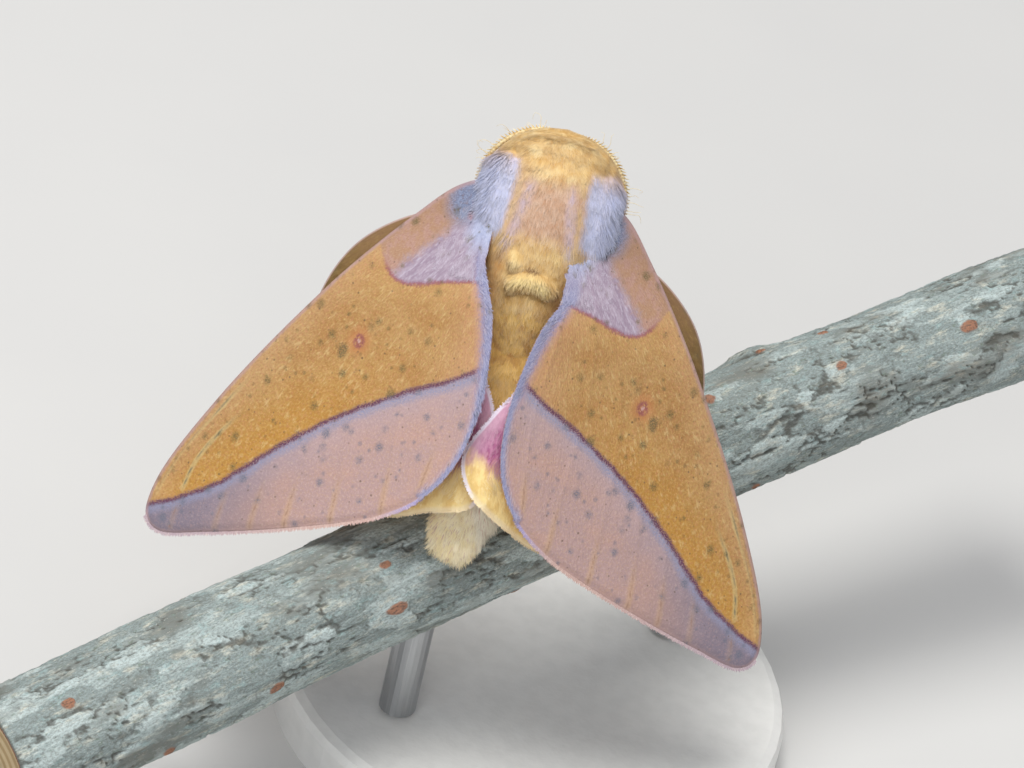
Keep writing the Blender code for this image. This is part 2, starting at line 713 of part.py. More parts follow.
def wing_solid(outline, side, hind, spans, chords, out=0.0, veins=True):
    """A thin closed wing, alike above and below, with every second row of points raised as a vein."""
    grid = widened(wing_patch(outline, spans, chords), out)
    mesh = bmesh.new()
    sheets = []
    for face in (1, -1):
        rows = []
        for i, row in enumerate(grid):
            points = []
            for j, (across, place) in enumerate(row):
                here = wing_point(across, place, side, hind)
                step = 0.3 * MM
                down = wing_point(across + step, place, side, hind) - here
                back = wing_point(across, place + step, side, hind) - here
                normal = down.cross(back).normalized() * side
                vein = VEIN_HEIGHT if veins and j % 2 == 0 and 0 < j < chords and 0 < i < spans else 0
                thick = WING_THICKNESS / 2 + vein + out
                points.append(mesh.verts.new(here + face * thick * normal))
            rows.append(points)
        sheets.append(rows)
    for rows in sheets:
        for first, second in zip(rows, rows[1:]):
            for j in range(chords):
                mesh.faces.new((first[j], first[j + 1], second[j + 1]))
                mesh.faces.new((first[j], second[j + 1], second[j]))
    rims = [[rows[i][j] for i, j in rim_places(spans, chords)] for rows in sheets]
    for k in range(len(rims[0])):
        n = (k + 1) % len(rims[0])
        mesh.faces.new((rims[0][k], rims[0][n], rims[1][n], rims[1][k]))
    bmesh.ops.triangulate(mesh, faces=mesh.faces)
    return mesh


def hind_outline(side):
    """The two hindwings are spread unevenly, so each has its own outline."""
    if side > 0:
        return {**HIND_OUTLINE, "costa": RIGHT_HIND_COSTA}
    return {**HIND_OUTLINE, "inner": LEFT_HIND_INNER}


def make_wings(moth):
    for name, side in (("left", -1), ("right", 1)):
        fore = wing_solid(FORE_OUTLINE, side, False, FORE_SPANS, FORE_CHORDS)
        object_of(f"forewing_{name}", fore, "wing_ochre", moth)
        hind = wing_solid(hind_outline(side), side, True, HIND_SPANS, HIND_CHORDS)
        object_of(f"hindwing_{name}", hind, "wing_rose", moth)


def wing_cutters():
    """The wings grown by the gap, to cut the slots that they are rooted in."""
    out = GAP + VEIN_HEIGHT
    cutters = []
    for side in (-1, 1):
        for outline, hind, spans, chords in (
            (FORE_OUTLINE, False, FORE_SPANS, FORE_CHORDS // 2),
            (hind_outline(side), True, HIND_SPANS, HIND_CHORDS // 2),
        ):
            cutters.append(wing_solid(outline, side, hind, spans, chords, out, veins=False))
    return cutters


def leg_paths(moth):
    """The line that each leg follows, in the moth's frame."""
    into_body = moth.matrix_world.inverted()
    paths = {"foreleg_left": smooth_path(TUCKED_FORELEG, TUCKED_POINTS)}
    for name, (hip, place, turn, femur, shin, bend) in LEG_PLAN.items():
        hip = hip * MM
        turn = math.radians(turn)
        lift = FOOT_CLEARANCE + ANKLE_HEIGHT
        ankle = into_body @ twig_point(place * MM, turn + ANKLE_TURN, lift)
        reach = ankle - hip
        femur, shin = femur * MM, shin * MM
        span = min(reach.length, STRAIGHTEST_LEG * (femur + shin))
        along = (femur**2 - shin**2 + span**2) / (2 * span)
        rise = math.sqrt(max(femur**2 - along**2, 0))
        outward = Vector(bend) - Vector(bend).dot(reach.normalized()) * reach.normalized()
        knee = hip + reach * along / reach.length + rise * outward.normalized()
        outwards = math.copysign(TOE_STEP, hip.x)
        toes = []
        for step in range(TOE_POINTS):
            spot = twig_point((place + step * outwards) * MM, turn + TOE_TURN * step, FOOT_CLEARANCE)
            toes.append(into_body @ spot)
        points = [hip, hip.lerp(knee, 0.5), knee, knee.lerp(ankle, 0.55), ankle, *toes]
        paths[name] = smooth_path(points, LEG_POINTS)
    return paths


def leg_mesh(path):
    """A stout femur, a slimmer shin and a beaded foot along the path."""
    radii = []
    for i in range(len(path)):
        share = i / (len(path) - 1)
        if share < KNEE_SHARE:
            radii.append(FEMUR_RADIUS)
        elif share < ANKLE_SHARE:
            radii.append(SHIN_RADIUS)
        else:
            radii.append(FOOT_RADIUS + FOOT_BEAD * (i % 2))
    radii[-1] = TOE_RADIUS
    return lofted(tube_sections(path, radii, radii, LEG_UP), LEG_SIDES)


def make_legs(moth, legs):
    for name, path in legs.items():
        cutters = [trunk(THORAX_SECTIONS, *THORAX_FACETS, GAP)]
        fused(name, leg_mesh(path), (), "leg", moth, cutters)


def feeler_path(side):
    """The line of one feeler's stalk round the edge of the collar."""
    return mirrored(smooth_path(FEELER_PATH, FEELER_POINTS), side)


def feeler_mesh(side, out=0.0):
    radii = [FEELER_RADIUS * (1 - 0.2 * i / (FEELER_POINTS - 1)) + out for i in range(FEELER_POINTS)]
    return lofted(tube_sections(feeler_path(side), radii, radii, Vector((0, 0, 1))), FEELER_SIDES)


def feeler_barbs(side):
    """Two rows of tapered barbs, one to the outside and one below, that lean towards the feeler's tip."""
    path = mirrored(smooth_path(FEELER_PATH, 2 * BARB_PAIRS + 3), side)
    barbs = []
    for k in range(BARB_PAIRS):
        i = 2 * k + 2
        tip_ward = (path[i + 1] - path[i - 1]).normalized()
        outward = Vector((0, 0, side)).cross(tip_ward).normalized()
        grown = BARB_LENGTH * (0.55 + 0.45 * math.sin(math.pi * min(1, 0.25 + k / BARB_PAIRS)))
        for out, rise in BARB_ROWS:
            line = (out * outward + rise * Vector((0, 0, 1)) + 0.5 * tip_ward).normalized()
            curl = BARB_CURL * grown * tip_ward
            points = [path[i], path[i] + 0.55 * grown * line, path[i] + grown * line + curl]
            radii = [BARB_RADIUS * size for size in BARB_TAPER]
            sections = tube_sections(points, radii, radii, tip_ward.cross(line))
            barbs.append(lofted(sections, LOCK_SIDES, pointed=True))
    return barbs


def eye_spot(side):
    return mirrored([EYE_PLACE], side)[0]


def eye_balls(out=0.0):
    """Both eyes, grown by out."""
    sides, rings = EYE_FACETS
    balls = []
    for side in (-1, 1):
        place = Matrix.Translation(eye_spot(side)) @ Matrix.Rotation(side * math.pi / 2, 4, "Y")
        radius = EYE_RADIUS + out
        ball = bmesh.new()
        bmesh.ops.create_uvsphere(ball, u_segments=sides, v_segments=rings, radius=radius, matrix=place)
        bmesh.ops.triangulate(ball, faces=ball.faces)
        balls.append(ball)
    return balls


def make_head(moth):
    cutters = [trunk(THORAX_SECTIONS, *THORAX_FACETS, GAP), *eye_balls(GAP)]
    for name, side, ball in zip(("left", "right"), (-1, 1), eye_balls()):
        object_of(f"eye_{name}", ball, "eye", moth)
        skull = trunk(HEAD_SECTIONS, *HEAD_FACETS, GAP)
        barbs = feeler_barbs(side)
        fused(f"antenna_{name}", feeler_mesh(side), barbs, "feeler", moth, [skull], "MANIFOLD")
    avoid = [(eye_spot(side), EYE_RADIUS + GAP) for side in (-1, 1)]
    avoid += [(spot, LOCK_CLEARANCE) for side in (-1, 1) for spot in feeler_path(side)[2:]]
    pieces = coat(HEAD_SECTIONS, HEAD_COAT, head_flow, HEAD_LOCK_LENGTH, avoid, COAT_SEED + 1)
    for side in (-1, 1):
        path = mirrored(smooth_path(PALP_PATH, len(PALP_RADII)), side)
        sections = tube_sections(path, PALP_RADII, PALP_RADII, Vector((0, 0, 1)))
        pieces.append(lofted(sections, PALP_SIDES))
    cutters += [feeler_mesh(side, GAP) for side in (-1, 1)]
    fused("head", trunk(HEAD_SECTIONS, *HEAD_FACETS), pieces, "gold_coat", moth, cutters, "MANIFOLD")


def head_flow(spot):
    """The head's fur runs from the crown forwards and down over the face."""
    return (spot - HEAD_CROWN).normalized(), FLAT_LIFT


def thorax_flow(spot):
    """The thorax's fur runs back from the collar, and stands up in the crest over the waist."""
    crest = max(0.0, 1 - abs(spot.y - CREST_PLACE) / CREST_REACH) if spot.z > CREST_FLOOR else 0
    return (spot - THORAX_CROWN).normalized(), BACK_LIFT + (CREST_LIFT - BACK_LIFT) * crest


def abdomen_flow(spot):
    """The abdomen's fur runs straight back and spreads a little to both sides."""
    return Vector((0.04 * spot.x / MM, -1, 0)).normalized(), FLAT_LIFT


def tegula_mesh(side):
    """The rounded flap of scales that covers a wing's root."""
    mesh = bmesh.new()
    place = mirrored([TEGULA_CENTRE], side)[0]
    turn = Matrix.Rotation(side * TEGULA_TURN, 4, "Z")
    matrix = Matrix.Translation(place) @ turn @ Matrix.Diagonal((*TEGULA_RADII, 1))
    sides, rings = TEGULA_FACETS
    bmesh.ops.create_uvsphere(mesh, u_segments=sides, v_segments=rings, radius=1, matrix=matrix)
    bmesh.ops.triangulate(mesh, faces=mesh.faces)
    return mesh


def make_thorax(moth, legs):
    cutters = [half_space(WAIST_CUT, keep_front=True), *wing_cutters()]
    cutters += eye_balls(GAP)
    cutters += [feeler_mesh(side, GAP) for side in (-1, 1)]
    avoid = [(spot, LEG_CLEARANCE) for path in legs.values() for spot in path]
    avoid += [(spot, LOCK_CLEARANCE) for side in (-1, 1) for spot in feeler_path(side)]
    avoid += [(eye_spot(side), EYE_RADIUS + GAP) for side in (-1, 1)]
    pieces = coat(THORAX_SECTIONS, THORAX_COAT, thorax_flow, LOCK_LENGTH, avoid, COAT_SEED)
    pieces += [tegula_mesh(side) for side in (-1, 1)]
    body = trunk(THORAX_SECTIONS, *THORAX_FACETS)
    fused("thorax", body, pieces, "gold_coat", moth, cutters, "MANIFOLD")


def make_abdomen(moth, legs):
    cutters = [half_space(WAIST_CUT, keep_front=False), half_space(TUFT_CUT, keep_front=True)]
    avoid = [(spot, LEG_CLEARANCE) for path in legs.values() for spot in path]
    pieces = coat(ABDOMEN_SECTIONS, ABDOMEN_COAT, abdomen_flow, LOCK_LENGTH, avoid, COAT_SEED + 2)
    body = trunk(ABDOMEN_SECTIONS, *ABDOMEN_FACETS)
    fused("abdomen", body, pieces, "pale_coat", moth, cutters, "MANIFOLD")


def make_tuft(moth):
    """The fan of long scales at the tail, in two alternating rows of locks round a flat core."""
    path = [Vector((0, place, TUFT_HEIGHT)) for place, _, _ in TUFT_SECTIONS]
    half_widths = [half_width for _, half_width, _ in TUFT_SECTIONS]
    half_heights = [half_height for _, _, half_height in TUFT_SECTIONS]
    core = lofted(tube_sections(path, half_widths, half_heights, Vector((0, 0, 1))), TUFT_SIDES)
    wide, back, high = TUFT_ROOTS
    draw = random.Random(COAT_SEED + 3)
    locks = []
    for k in range(TUFT_LOCKS):
        turn = 2 * math.pi * k / TUFT_LOCKS
        row = k % 2
        height = TUFT_HEIGHT + high * math.cos(turn)
        root = Vector((wide * math.sin(turn), back + row * TUFT_ROW_STEP, height))
        normal = Vector((math.sin(turn) * 0.6, 0, math.cos(turn))).normalized()
        along = (root - TUFT_FAN).normalized()
        grown = TUFT_LOCK_LENGTH * draw.uniform(0.85, 1.1) - abs(root.x) * 0.5 - 0.5 * row * MM
        locks.append(lock(root, along, normal, grown, TUFT_LOCK_WIDTH, LOCK_THICKNESS, 0.05, 0.08))
    cutters = [half_space(TUFT_CUT, keep_front=False)]
    fused("abdomen_tuft", core, locks, "pale_coat", moth, cutters, "MANIFOLD")


def main():
    for existing in list(bpy.data.objects):
        bpy.data.objects.remove(existing)
    make_stand()
    make_twig()
    moth = place_moth()
    legs = leg_paths(moth)
    make_thorax(moth, legs)
    make_head(moth)
    make_abdomen(moth, legs)
    make_tuft(moth)
    make_wings(moth)
    make_legs(moth, legs)


main()
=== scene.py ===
import math

import bmesh
import bpy
import numpy as np
from mathutils import Matrix, Vector, noise


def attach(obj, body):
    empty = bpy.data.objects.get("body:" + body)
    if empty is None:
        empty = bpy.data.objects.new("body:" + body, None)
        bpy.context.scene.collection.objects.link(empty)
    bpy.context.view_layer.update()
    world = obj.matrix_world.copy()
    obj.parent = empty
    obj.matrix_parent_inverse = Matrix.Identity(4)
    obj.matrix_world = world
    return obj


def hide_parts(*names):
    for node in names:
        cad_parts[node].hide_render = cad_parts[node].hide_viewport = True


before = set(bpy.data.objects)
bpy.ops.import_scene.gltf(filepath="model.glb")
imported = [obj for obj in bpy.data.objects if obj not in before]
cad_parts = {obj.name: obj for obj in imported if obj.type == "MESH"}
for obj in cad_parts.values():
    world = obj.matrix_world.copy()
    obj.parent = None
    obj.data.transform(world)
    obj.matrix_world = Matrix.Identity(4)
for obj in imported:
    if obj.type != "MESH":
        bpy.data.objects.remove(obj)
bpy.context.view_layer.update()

# Display stand
# A turned disc of satin white board carries two short rods of brushed steel.
# Each rod is let into the disc and cut to the underside of the twig.


def tone(red, green, blue):
    """A colour judged at 0 to 255 a channel, as the linear colour that a finish takes."""
    shares = (channel / 255 for channel in (red, green, blue))
    return (*(((share + 0.055) / 1.055) ** 2.4 if share > 0.04 else share / 12.92 for share in shares), 1.0)


class Shade:
    """A value or colour that varies over a surface. Sums and products of values add Math nodes."""

    def __init__(self, tree, socket=None):
        self.tree = tree
        self.socket = socket

    def node(self, kind, settings=None, inputs=None, output=0):
        """Adds a node: its settings come first, then the values or links of its sockets."""
        made = self.tree.nodes.new(f"ShaderNode{kind}")
        for name, value in (settings or {}).items():
            if name == "stops":
                while len(made.color_ramp.elements) < len(value):
                    made.color_ramp.elements.new(0.5)
                for stop, (place, colour) in zip(made.color_ramp.elements, value):
                    stop.position = place
                    stop.color = colour
            else:
                setattr(made, name, value)
        for name, value in (inputs or {}).items():
            if isinstance(value, Shade):
                self.tree.links.new(value.socket, made.inputs[name])
            else:
                made.inputs[name].default_value = value
        return Shade(self.tree, made.outputs[output])

    def maths(self, operation, *terms):
        return self.node("Math", {"operation": operation}, dict(enumerate((self, *terms))))

    def __add__(self, other):
        return self.maths("ADD", other)

    def __mul__(self, other):
        return self.maths("MULTIPLY", other)

    def __sub__(self, other):
        return self.maths("SUBTRACT", other)

    def __rsub__(self, other):
        return self * -1 + other

    def __gt__(self, other):
        return self.maths("GREATER_THAN", other)

    def __abs__(self):
        return self.maths("ABSOLUTE")

    __radd__ = __add__
    __rmul__ = __mul__

    def rise(self, low, high):
        """0 at low and 1 at high, with a smooth step between them, which may also run downwards."""
        ends = {"Value": self, "From Min": low, "From Max": high}
        return self.node("MapRange", {"interpolation_type": "SMOOTHSTEP"}, ends)

    def hump(self, middle, reach):
        """1 at the middle, falling to 0 a reach away on both sides."""
        return abs(self - middle).rise(reach, 0.0)

    def parts(self):
        """The three parts of a vector or colour."""
        first = self.node("SeparateXYZ", None, {0: self})
        return [Shade(self.tree, socket) for socket in first.socket.node.outputs]

    def stretched(self, *sizes):
        """A vector with each of its parts taken so many times."""
        return self.node("VectorMath", {"operation": "MULTIPLY"}, {0: self, 1: sizes})

    def moved(self, other, amount):
        """A vector pushed about by another one, such as a noise's colour."""
        push = self.node("VectorMath", {"operation": "SCALE"}, {0: other, "Scale": amount})
        return self.node("VectorMath", {"operation": "ADD"}, {0: self, 1: push})

    def noise(self, scale, detail=2.0, rough=0.5, output=0):
        """Cloudy noise from 0 to 1, read at this vector."""
        inputs = {"Vector": self, "Scale": scale, "Detail": detail, "Roughness": rough}
        return self.node("TexNoise", None, inputs, output)

    def mix(self, first, second, amount):
        """The first colour with the second laid over it, through the Mix node's own sockets for colours."""
        return self.node("Mix", {"data_type": "RGBA"}, {0: amount, 6: first, 7: second}, 2)

    def layers(self, colour, *laid):
        """A colour with others over it in turn: red, green, blue and amount, or colour and amount."""
        for *over, amount in laid:
            colour = self.mix(colour, over[0] if len(over) == 1 else tone(*over), amount)
        return colour

    def kept(self, name):
        """The three numbers that a mesh keeps for each of its points under this name."""
        return self.node("Attribute", {"attribute_name": name}, output="Vector")

    def bump(self, height, distance, strength=1.0):
        return self.node("Bump", None, {"Height": height, "Distance": distance, "Strength": strength})


def finish(name, **sockets):
    """A new material and the start of its node maths. Sockets are set by name, with _ for a blank."""
    made = bpy.data.materials.new(name)
    made.use_nodes = True
    dress(made, **sockets)
    return made, Shade(made.node_tree)


def dress(made, **sockets):
    """Sets or links sockets of a material's main shader."""
    shader = made.node_tree.nodes["Principled BSDF"]
    for name, value in sockets.items():
        socket = shader.inputs[name.replace("_", " ")]
        if isinstance(value, Shade):
            made.node_tree.links.new(value.socket, socket)
        else:
            socket.default_value = value


board, paint = finish("satin_board", Coat_Weight=0.25, Coat_Roughness=0.3)
spot = paint.node("TexCoord", output="Object")
grain = spot.noise(900.0, 3.0)
dress(
    board,
    Base_Color=paint.mix(tone(226, 225, 221), tone(221, 220, 216), grain.rise(0.35, 0.7)),
    Roughness=0.42 + 0.12 * spot.noise(350.0),
    Normal=paint.bump(spot.noise(2600.0, 2.0), 0.00002),
)
steel, paint = finish("brushed_steel", Metallic=1.0)
spot = paint.node("TexCoord", output="Object")
brushed = spot.stretched(9000.0, 9000.0, 260.0).noise(1.0, 2.0)
dress(
    steel,
    Base_Color=paint.mix(tone(188, 190, 192), tone(160, 162, 165), brushed),
    Roughness=0.26 + 0.16 * brushed,
    Normal=paint.bump(brushed, 0.00001),
)
for node, metal, slot in (
    ("stand_base", board, "stand_plate"),
    ("stand_rod_left", steel, "stand_steel"),
    ("stand_rod_right", steel, "stand_steel"),
):
    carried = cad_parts[node]
    carried.data.materials.clear()
    carried.data.materials.append(metal)

# Twig
# A cut length of a living branch: thin grey bark, cracked lengthwise into scaly plates, over pale wood.
# Rusty breathing pores are raised on it, and both ends are sawn. It rests on the two rods.

MILLIMETRE = 0.001  # sizes are given in millimetres, and the finished scene is in metres
TWIG_HEIGHT = 16.5
TWIG_LENGTH = 84.5
TWIG_RADIUS = 4.08
TWIG_BOW = 1.6
TWIG_TURN = math.radians(42.5)
TWIG_RISE = math.radians(10.4)
SAW_MARGIN = 0.15
TWIG_KNOTS = ((-19, 35, 0.55, 2.4), (16, -60, 0.6, 2.6), (30, 80, 0.5, 2.2))
NOISE_SEED = 7
BARK_ROWS = 540
BARK_COLUMNS = 150
PLATE_LENGTH = 3.0
PLATE_WIDTH = 0.8
CRACK_DEPTH = 0.15
BARK_DEPTH = 0.1
PORES = (  # place along the twig, degrees round from its top, half length and half width
    (10.0, 8, 0.50, 0.42), (19.7, 26, 0.55, 0.45), (30.1, 34, 0.8, 0.5), (-25.0, 91, 0.6, 0.45),
    (-15.9, 69, 0.85, 0.38), (-15.7, 29, 0.5, 0.3), (-32.5, 109, 0.55, 0.45), (20.4, -17, 0.45, 0.35),
    (16.1, -31, 0.4, 0.3), (-6.0, 150, 0.6, 0.4), (4.0, -120, 0.5, 0.4), (24.0, 160, 0.6, 0.45),
    (-28.0, -100, 0.6, 0.4), (35.0, -60, 0.5, 0.4), (-38.0, 20, 0.45, 0.35), (12.0, 120, 0.5, 0.4),
)

noise.seed_set(NOISE_SEED)  # the same bark and the same ruffled fur in every run
twig_along = Vector(
    (
        math.cos(TWIG_RISE) * math.cos(TWIG_TURN),
        math.cos(TWIG_RISE) * math.sin(TWIG_TURN),
        math.sin(TWIG_RISE),
    )
)
twig_top = (Vector((0, 0, 1)) - twig_along.z * twig_along).normalized()
twig_side = twig_along.cross(twig_top)


def twig_centre(place):
    bow = TWIG_BOW * (1 - (2 * place / TWIG_LENGTH) ** 2)
    return Vector((0, 0, TWIG_HEIGHT)) + place * twig_along + bow * twig_top


def angle_between(first, second):
    return (first - second + math.pi) % (2 * math.pi) - math.pi


def twig_radius(place, turn):
    """The bark's distance from the middle line, with its long ribs and its knots."""
    metres = place * MILLIMETRE
    ribs = 0.10 * math.sin(3 * turn + 60 * metres) + 0.07 * math.sin(7 * turn - 190 * metres)
    swell = 0.08 * math.sin(170 * metres + 1) + 0.05 * math.sin(410 * metres)
    radius = TWIG_RADIUS + ribs + swell
    for knot_place, knot_turn, height, reach in TWIG_KNOTS:
        around = angle_between(turn, math.radians(knot_turn)) * TWIG_RADIUS
        radius += height * math.exp(-2 * (math.hypot(place - knot_place, around) / reach) ** 2)
    return radius


def twig_point(place, turn, out=0.0):
    spoke = math.cos(turn) * twig_top + math.sin(turn) * twig_side
    return twig_centre(place) + (twig_radius(place, turn) + out) * spoke


def step_between(low, high, value):
    """0 up to low and 1 from high on, with a smooth step between them."""
    share = min(max((value - low) / (high - low), 0.0), 1.0)
    return share * share * (3 - 2 * share)


def bark_relief(place, turn):
    """How far the bark stands out here, and how cracked it is, its plate's own shade, and how rusty."""
    rim = TWIG_RADIUS * math.cos(turn), TWIG_RADIUS * math.sin(turn)
    sway = noise.noise_vector(Vector((place / 2.6, rim[0] / 1.3, rim[1] / 1.3)))
    ragged = noise.noise_vector(Vector((place / 0.5, rim[0] / 0.3, rim[1] / 0.3)))
    spot = Vector((place / PLATE_LENGTH, rim[0] / PLATE_WIDTH, rim[1] / PLATE_WIDTH))
    far, near = noise.voronoi(spot + 0.5 * sway + 0.13 * ragged)
    gap = far[1] - far[0]
    shade = noise.cell(near[0] * 7.3)
    fine_far = noise.voronoi(spot * 2.2 + 0.9 * sway + 0.3 * ragged)[0]
    fine_gap = fine_far[1] - fine_far[0]
    worn = step_between(-0.30, 0.25, noise.noise(Vector((place / 5, rim[0] / 2, rim[1] / 2))))
    flaked = step_between(-0.1, 0.4, noise.noise(Vector((place / 3, rim[0] / 1.5 + 7, rim[1] / 1.5))))
    crack = (1 - step_between(0.0, 0.13, gap)) * (0.2 + 0.8 * worn)
    flake = (1 - step_between(0.0, 0.2, fine_gap)) * 0.6 * flaked
    grain = noise.fractal(Vector((place / 0.9, rim[0] / 0.3, rim[1] / 0.3)), 0.8, 2.1, 4)
    out = -CRACK_DEPTH * crack - 0.06 * flake + 0.035 * (shade - 0.5) + 0.055 * grain
    rust = 0.0
    for pore_place, pore_turn, half_length, half_width in PORES:
        around = angle_between(turn, math.radians(pore_turn)) * TWIG_RADIUS
        far_off = math.hypot((place - pore_place) / half_length, around / half_width)
        if far_off < 2:
            edge = far_off + 0.35 * sway.x + 0.25 * ragged.x
            lump = 1 - step_between(0.6, 1.2, edge)
            rust = max(rust, lump)
            out = out * (1 - lump) + lump * (0.14 - 0.10 * math.exp(-7 * edge * edge) + 0.04 * grain)
    return out, max(crack, flake), shade, rust


def add_values(data, name, values):
    """Stores three numbers for each point of a mesh."""
    kept = data.attributes.new(name, "FLOAT_VECTOR", "POINT")
    kept.data.foreach_set("vector", np.asarray(values, np.float32).ravel())


def as_data(mesh, name):
    """The finished data of a mesh, with its faces turned outwards."""
    bmesh.ops.recalc_face_normals(mesh, faces=mesh.faces)
    data = bpy.data.meshes.new(name)
    mesh.to_mesh(data)
    mesh.free()
    return data


def show_piece(name, data, material, stands_for=(), smooth=True):
    """Puts a finished mesh into the scene as a piece that rides with the model."""
    if smooth:
        data.shade_smooth()
    made = bpy.data.objects.new(name, data)
    bpy.context.scene.collection.objects.link(made)
    data.materials.append(material)
    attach(made, "root")
    if stands_for:
        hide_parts(*stands_for)
    return made


rolled = bmesh.new()
bmesh.ops.create_grid(rolled, x_segments=BARK_ROWS, y_segments=BARK_COLUMNS, size=0.5)
bark = rolled.verts.layers.float_vector.new("bark")
run = rolled.verts.layers.float_vector.new("run")
for vert in rolled.verts:
    place = vert.co.x * (TWIG_LENGTH - 2 * SAW_MARGIN)
    turn = (vert.co.y % 1.0) * 2 * math.pi
    out, crack, shade, rust = bark_relief(place, turn)
    vert[bark] = (crack, shade, rust)
    vert[run] = (place, TWIG_RADIUS * math.cos(turn), TWIG_RADIUS * math.sin(turn))
    vert.co = twig_point(place, turn, out)
bmesh.ops.remove_doubles(rolled, verts=rolled.verts, dist=0.001)
for end in (-1, 1):
    rim = [
        edge
        for edge in rolled.edges
        if edge.is_boundary and (edge.verts[0].co - twig_centre(0)).dot(twig_along) * end > 0
    ]
    middle = twig_centre(end * TWIG_LENGTH / 2)
    for inset, depth in ((0.97, 0.12), (0.90, 0.15), (0.89, 0.10), (0.5, 0.12), (0.14, 0.12)):
        grown = bmesh.ops.extrude_edge_only(rolled, edges=rim)["geom"]
        ring = [item for item in grown if isinstance(item, bmesh.types.BMVert)]
        for vert in ring:
            turn = math.atan2((vert.co - middle).dot(twig_side), (vert.co - middle).dot(twig_top))
            spoke = math.cos(turn) * twig_top + math.sin(turn) * twig_side
            vert.co = middle + inset * (TWIG_RADIUS - BARK_DEPTH) * spoke
            vert.co += (depth - SAW_MARGIN) * end * twig_along
            vert[bark] = (inset, 0.5, 2.0 if inset < 0.95 else 0.0)
        rim = [item for item in grown if isinstance(item, bmesh.types.BMEdge)]
    bmesh.ops.holes_fill(rolled, edges=rim)
twig = as_data(rolled, "twig_bark")
twig.transform(Matrix.Scale(MILLIMETRE, 4))

grey_bark, paint = finish("grey_bark", Specular_IOR_Level=0.2)
run = paint.kept("run")
crack, shade, rust = paint.kept("bark").parts()
cloud = run.stretched(0.16, 0.35, 0.35).noise(1.0, 3.0, 0.6)
patch = run.stretched(0.5, 1.5, 1.5).noise(1.0, 4.0, 0.65)
streak = run.stretched(1.2, 5.0, 5.0).noise(1.0, 4.0, 0.7)
grit = run.stretched(5.0, 9.0, 9.0).noise(1.0, 4.0, 0.75)
lichen = run.stretched(0.8, 1.8, 1.8).noise(1.0, 4.0, 0.7)
moss = run.stretched(1.6, 3.4, 3.4).noise(1.0, 3.0, 0.7)
rusty = paint.mix(tone(168, 116, 88), tone(112, 78, 60), grit.rise(0.45, 0.6))
wood = paint.mix(tone(214, 192, 152), tone(186, 158, 116), (crack * 26.0).maths("SINE").rise(-0.6, 0.9))
colour = paint.layers(
    paint.mix(tone(148, 160, 158), tone(192, 205, 203), (0.35 * shade + 0.75 * streak).rise(0.3, 0.75)),
    (212, 210, 194, patch.rise(0.5, 0.68) * streak.rise(0.35, 0.6) * 0.85),
    (112, 108, 98, cloud.rise(0.5, 0.68) * grit.rise(0.3, 0.6) * 0.75),
    (160, 188, 188, lichen.rise(0.55, 0.68) * 0.5),
    (112, 128, 108, moss.rise(0.58, 0.7) * 0.5),
    (96, 90, 80, grit.rise(0.54, 0.40) * 0.42),
    (228, 226, 216, grit.rise(0.58, 0.70) * 0.55),
    (70, 64, 55, crack.rise(0.15, 0.9) * 0.7),
    (rusty, rust.rise(0.3, 0.9) * 0.9),
    (wood, rust.rise(1.4, 1.8)),
)
dress(
    grey_bark,
    Base_Color=colour,
    Roughness=0.78 + 0.18 * patch,
    Normal=paint.bump(0.6 * grit + 0.8 * streak, 0.00016, 0.9),
)
show_piece("twig_bark", twig, grey_bark, ["perch_twig"])

# Body
# Head, thorax and abdomen under one soft skin of scales, built in the moth's own frame in millimetres:
# +Y to the head, +Z out of the back, +X to its right. The whole animal is tipped head up over the twig.

BODY_PITCH = math.radians(51)
TAIL_PLACE_ON_TWIG = -8.7
TAIL_CLEARANCE = 6.6
TAIL_DROP = 1.12
VIEW_PITCH = math.radians(35)
TAIL_END = -19.9
COAT_DEPTH = 0.35
BODY_SWAY = 0.45
SWAY_REACH = (-16, -3)
HEAD_SECTIONS = (
    (7.8, 0.4, 0.4, -1.4), (7.6, 1.2, 1.0, -1.4), (7.2, 2.1, 1.9, -1.4), (6.5, 2.7, 2.6, -1.5),
    (5.5, 2.8, 2.8, -1.6), (4.3, 2.4, 2.4, -1.7), (3.4, 1.8, 1.8, -1.7),
)
THORAX_SECTIONS = (
    (7.25, 0.6, 0.5, 1.0), (7.0, 1.8, 1.4, 1.0), (6.4, 3.1, 2.3, 0.7), (5.5, 3.9, 3.0, 0.3),
    (4.2, 4.3, 3.6, 0.0), (1.5, 4.1, 4.0, -0.2), (-1.6, 3.6, 3.7, -0.3), (-4.0, 3.0, 3.1, -0.4),
    (-6.0, 2.2, 2.2, -0.4),
)
ABDOMEN_SECTIONS = (
    (-2.6, 2.0, 1.8, -0.6), (-4.4, 2.9, 2.5, -0.6), (-7.0, 3.2, 2.4, -0.7), (-9.5, 3.2, 2.3, -0.8),
    (-12.0, 2.9, 2.2, -0.8), (-14.5, 2.4, 1.9, -0.8), (-16.8, 1.7, 1.3, -0.8), (-18.2, 0.9, 0.6, -0.9),
)
TAIL_SECTIONS = (
    (-15.6, 1.3, 1.0, -0.5), (-16.8, 1.45, 0.95, -0.5), (-18.0, 1.2, 0.5, -0.6), (-18.9, 0.6, 0.2, -0.7),
)
TEGULA_CENTRE = Vector((2.9, 2.8, 1.6))
TEGULA_RADII = Vector((1.6, 3.1, 0.74))
TEGULA_LOWER = 0.15
TEGULA_TILT = math.radians(28)
TEGULA_TURN = math.radians(-6)
PALP_PATH = (Vector((0.5, 6.3, -3.1)), Vector((0.6, 7.2, -3.4)), Vector((0.55, 7.85, -2.9)))
WAIST = 0.58  # the roll over the waist is an arch about this line, a little to the right
ROLL_PLACE = -1.85
ROLL_ARCH = 0.24
ROLL_HEIGHT = 3.05
ROLL_FALL = 0.2
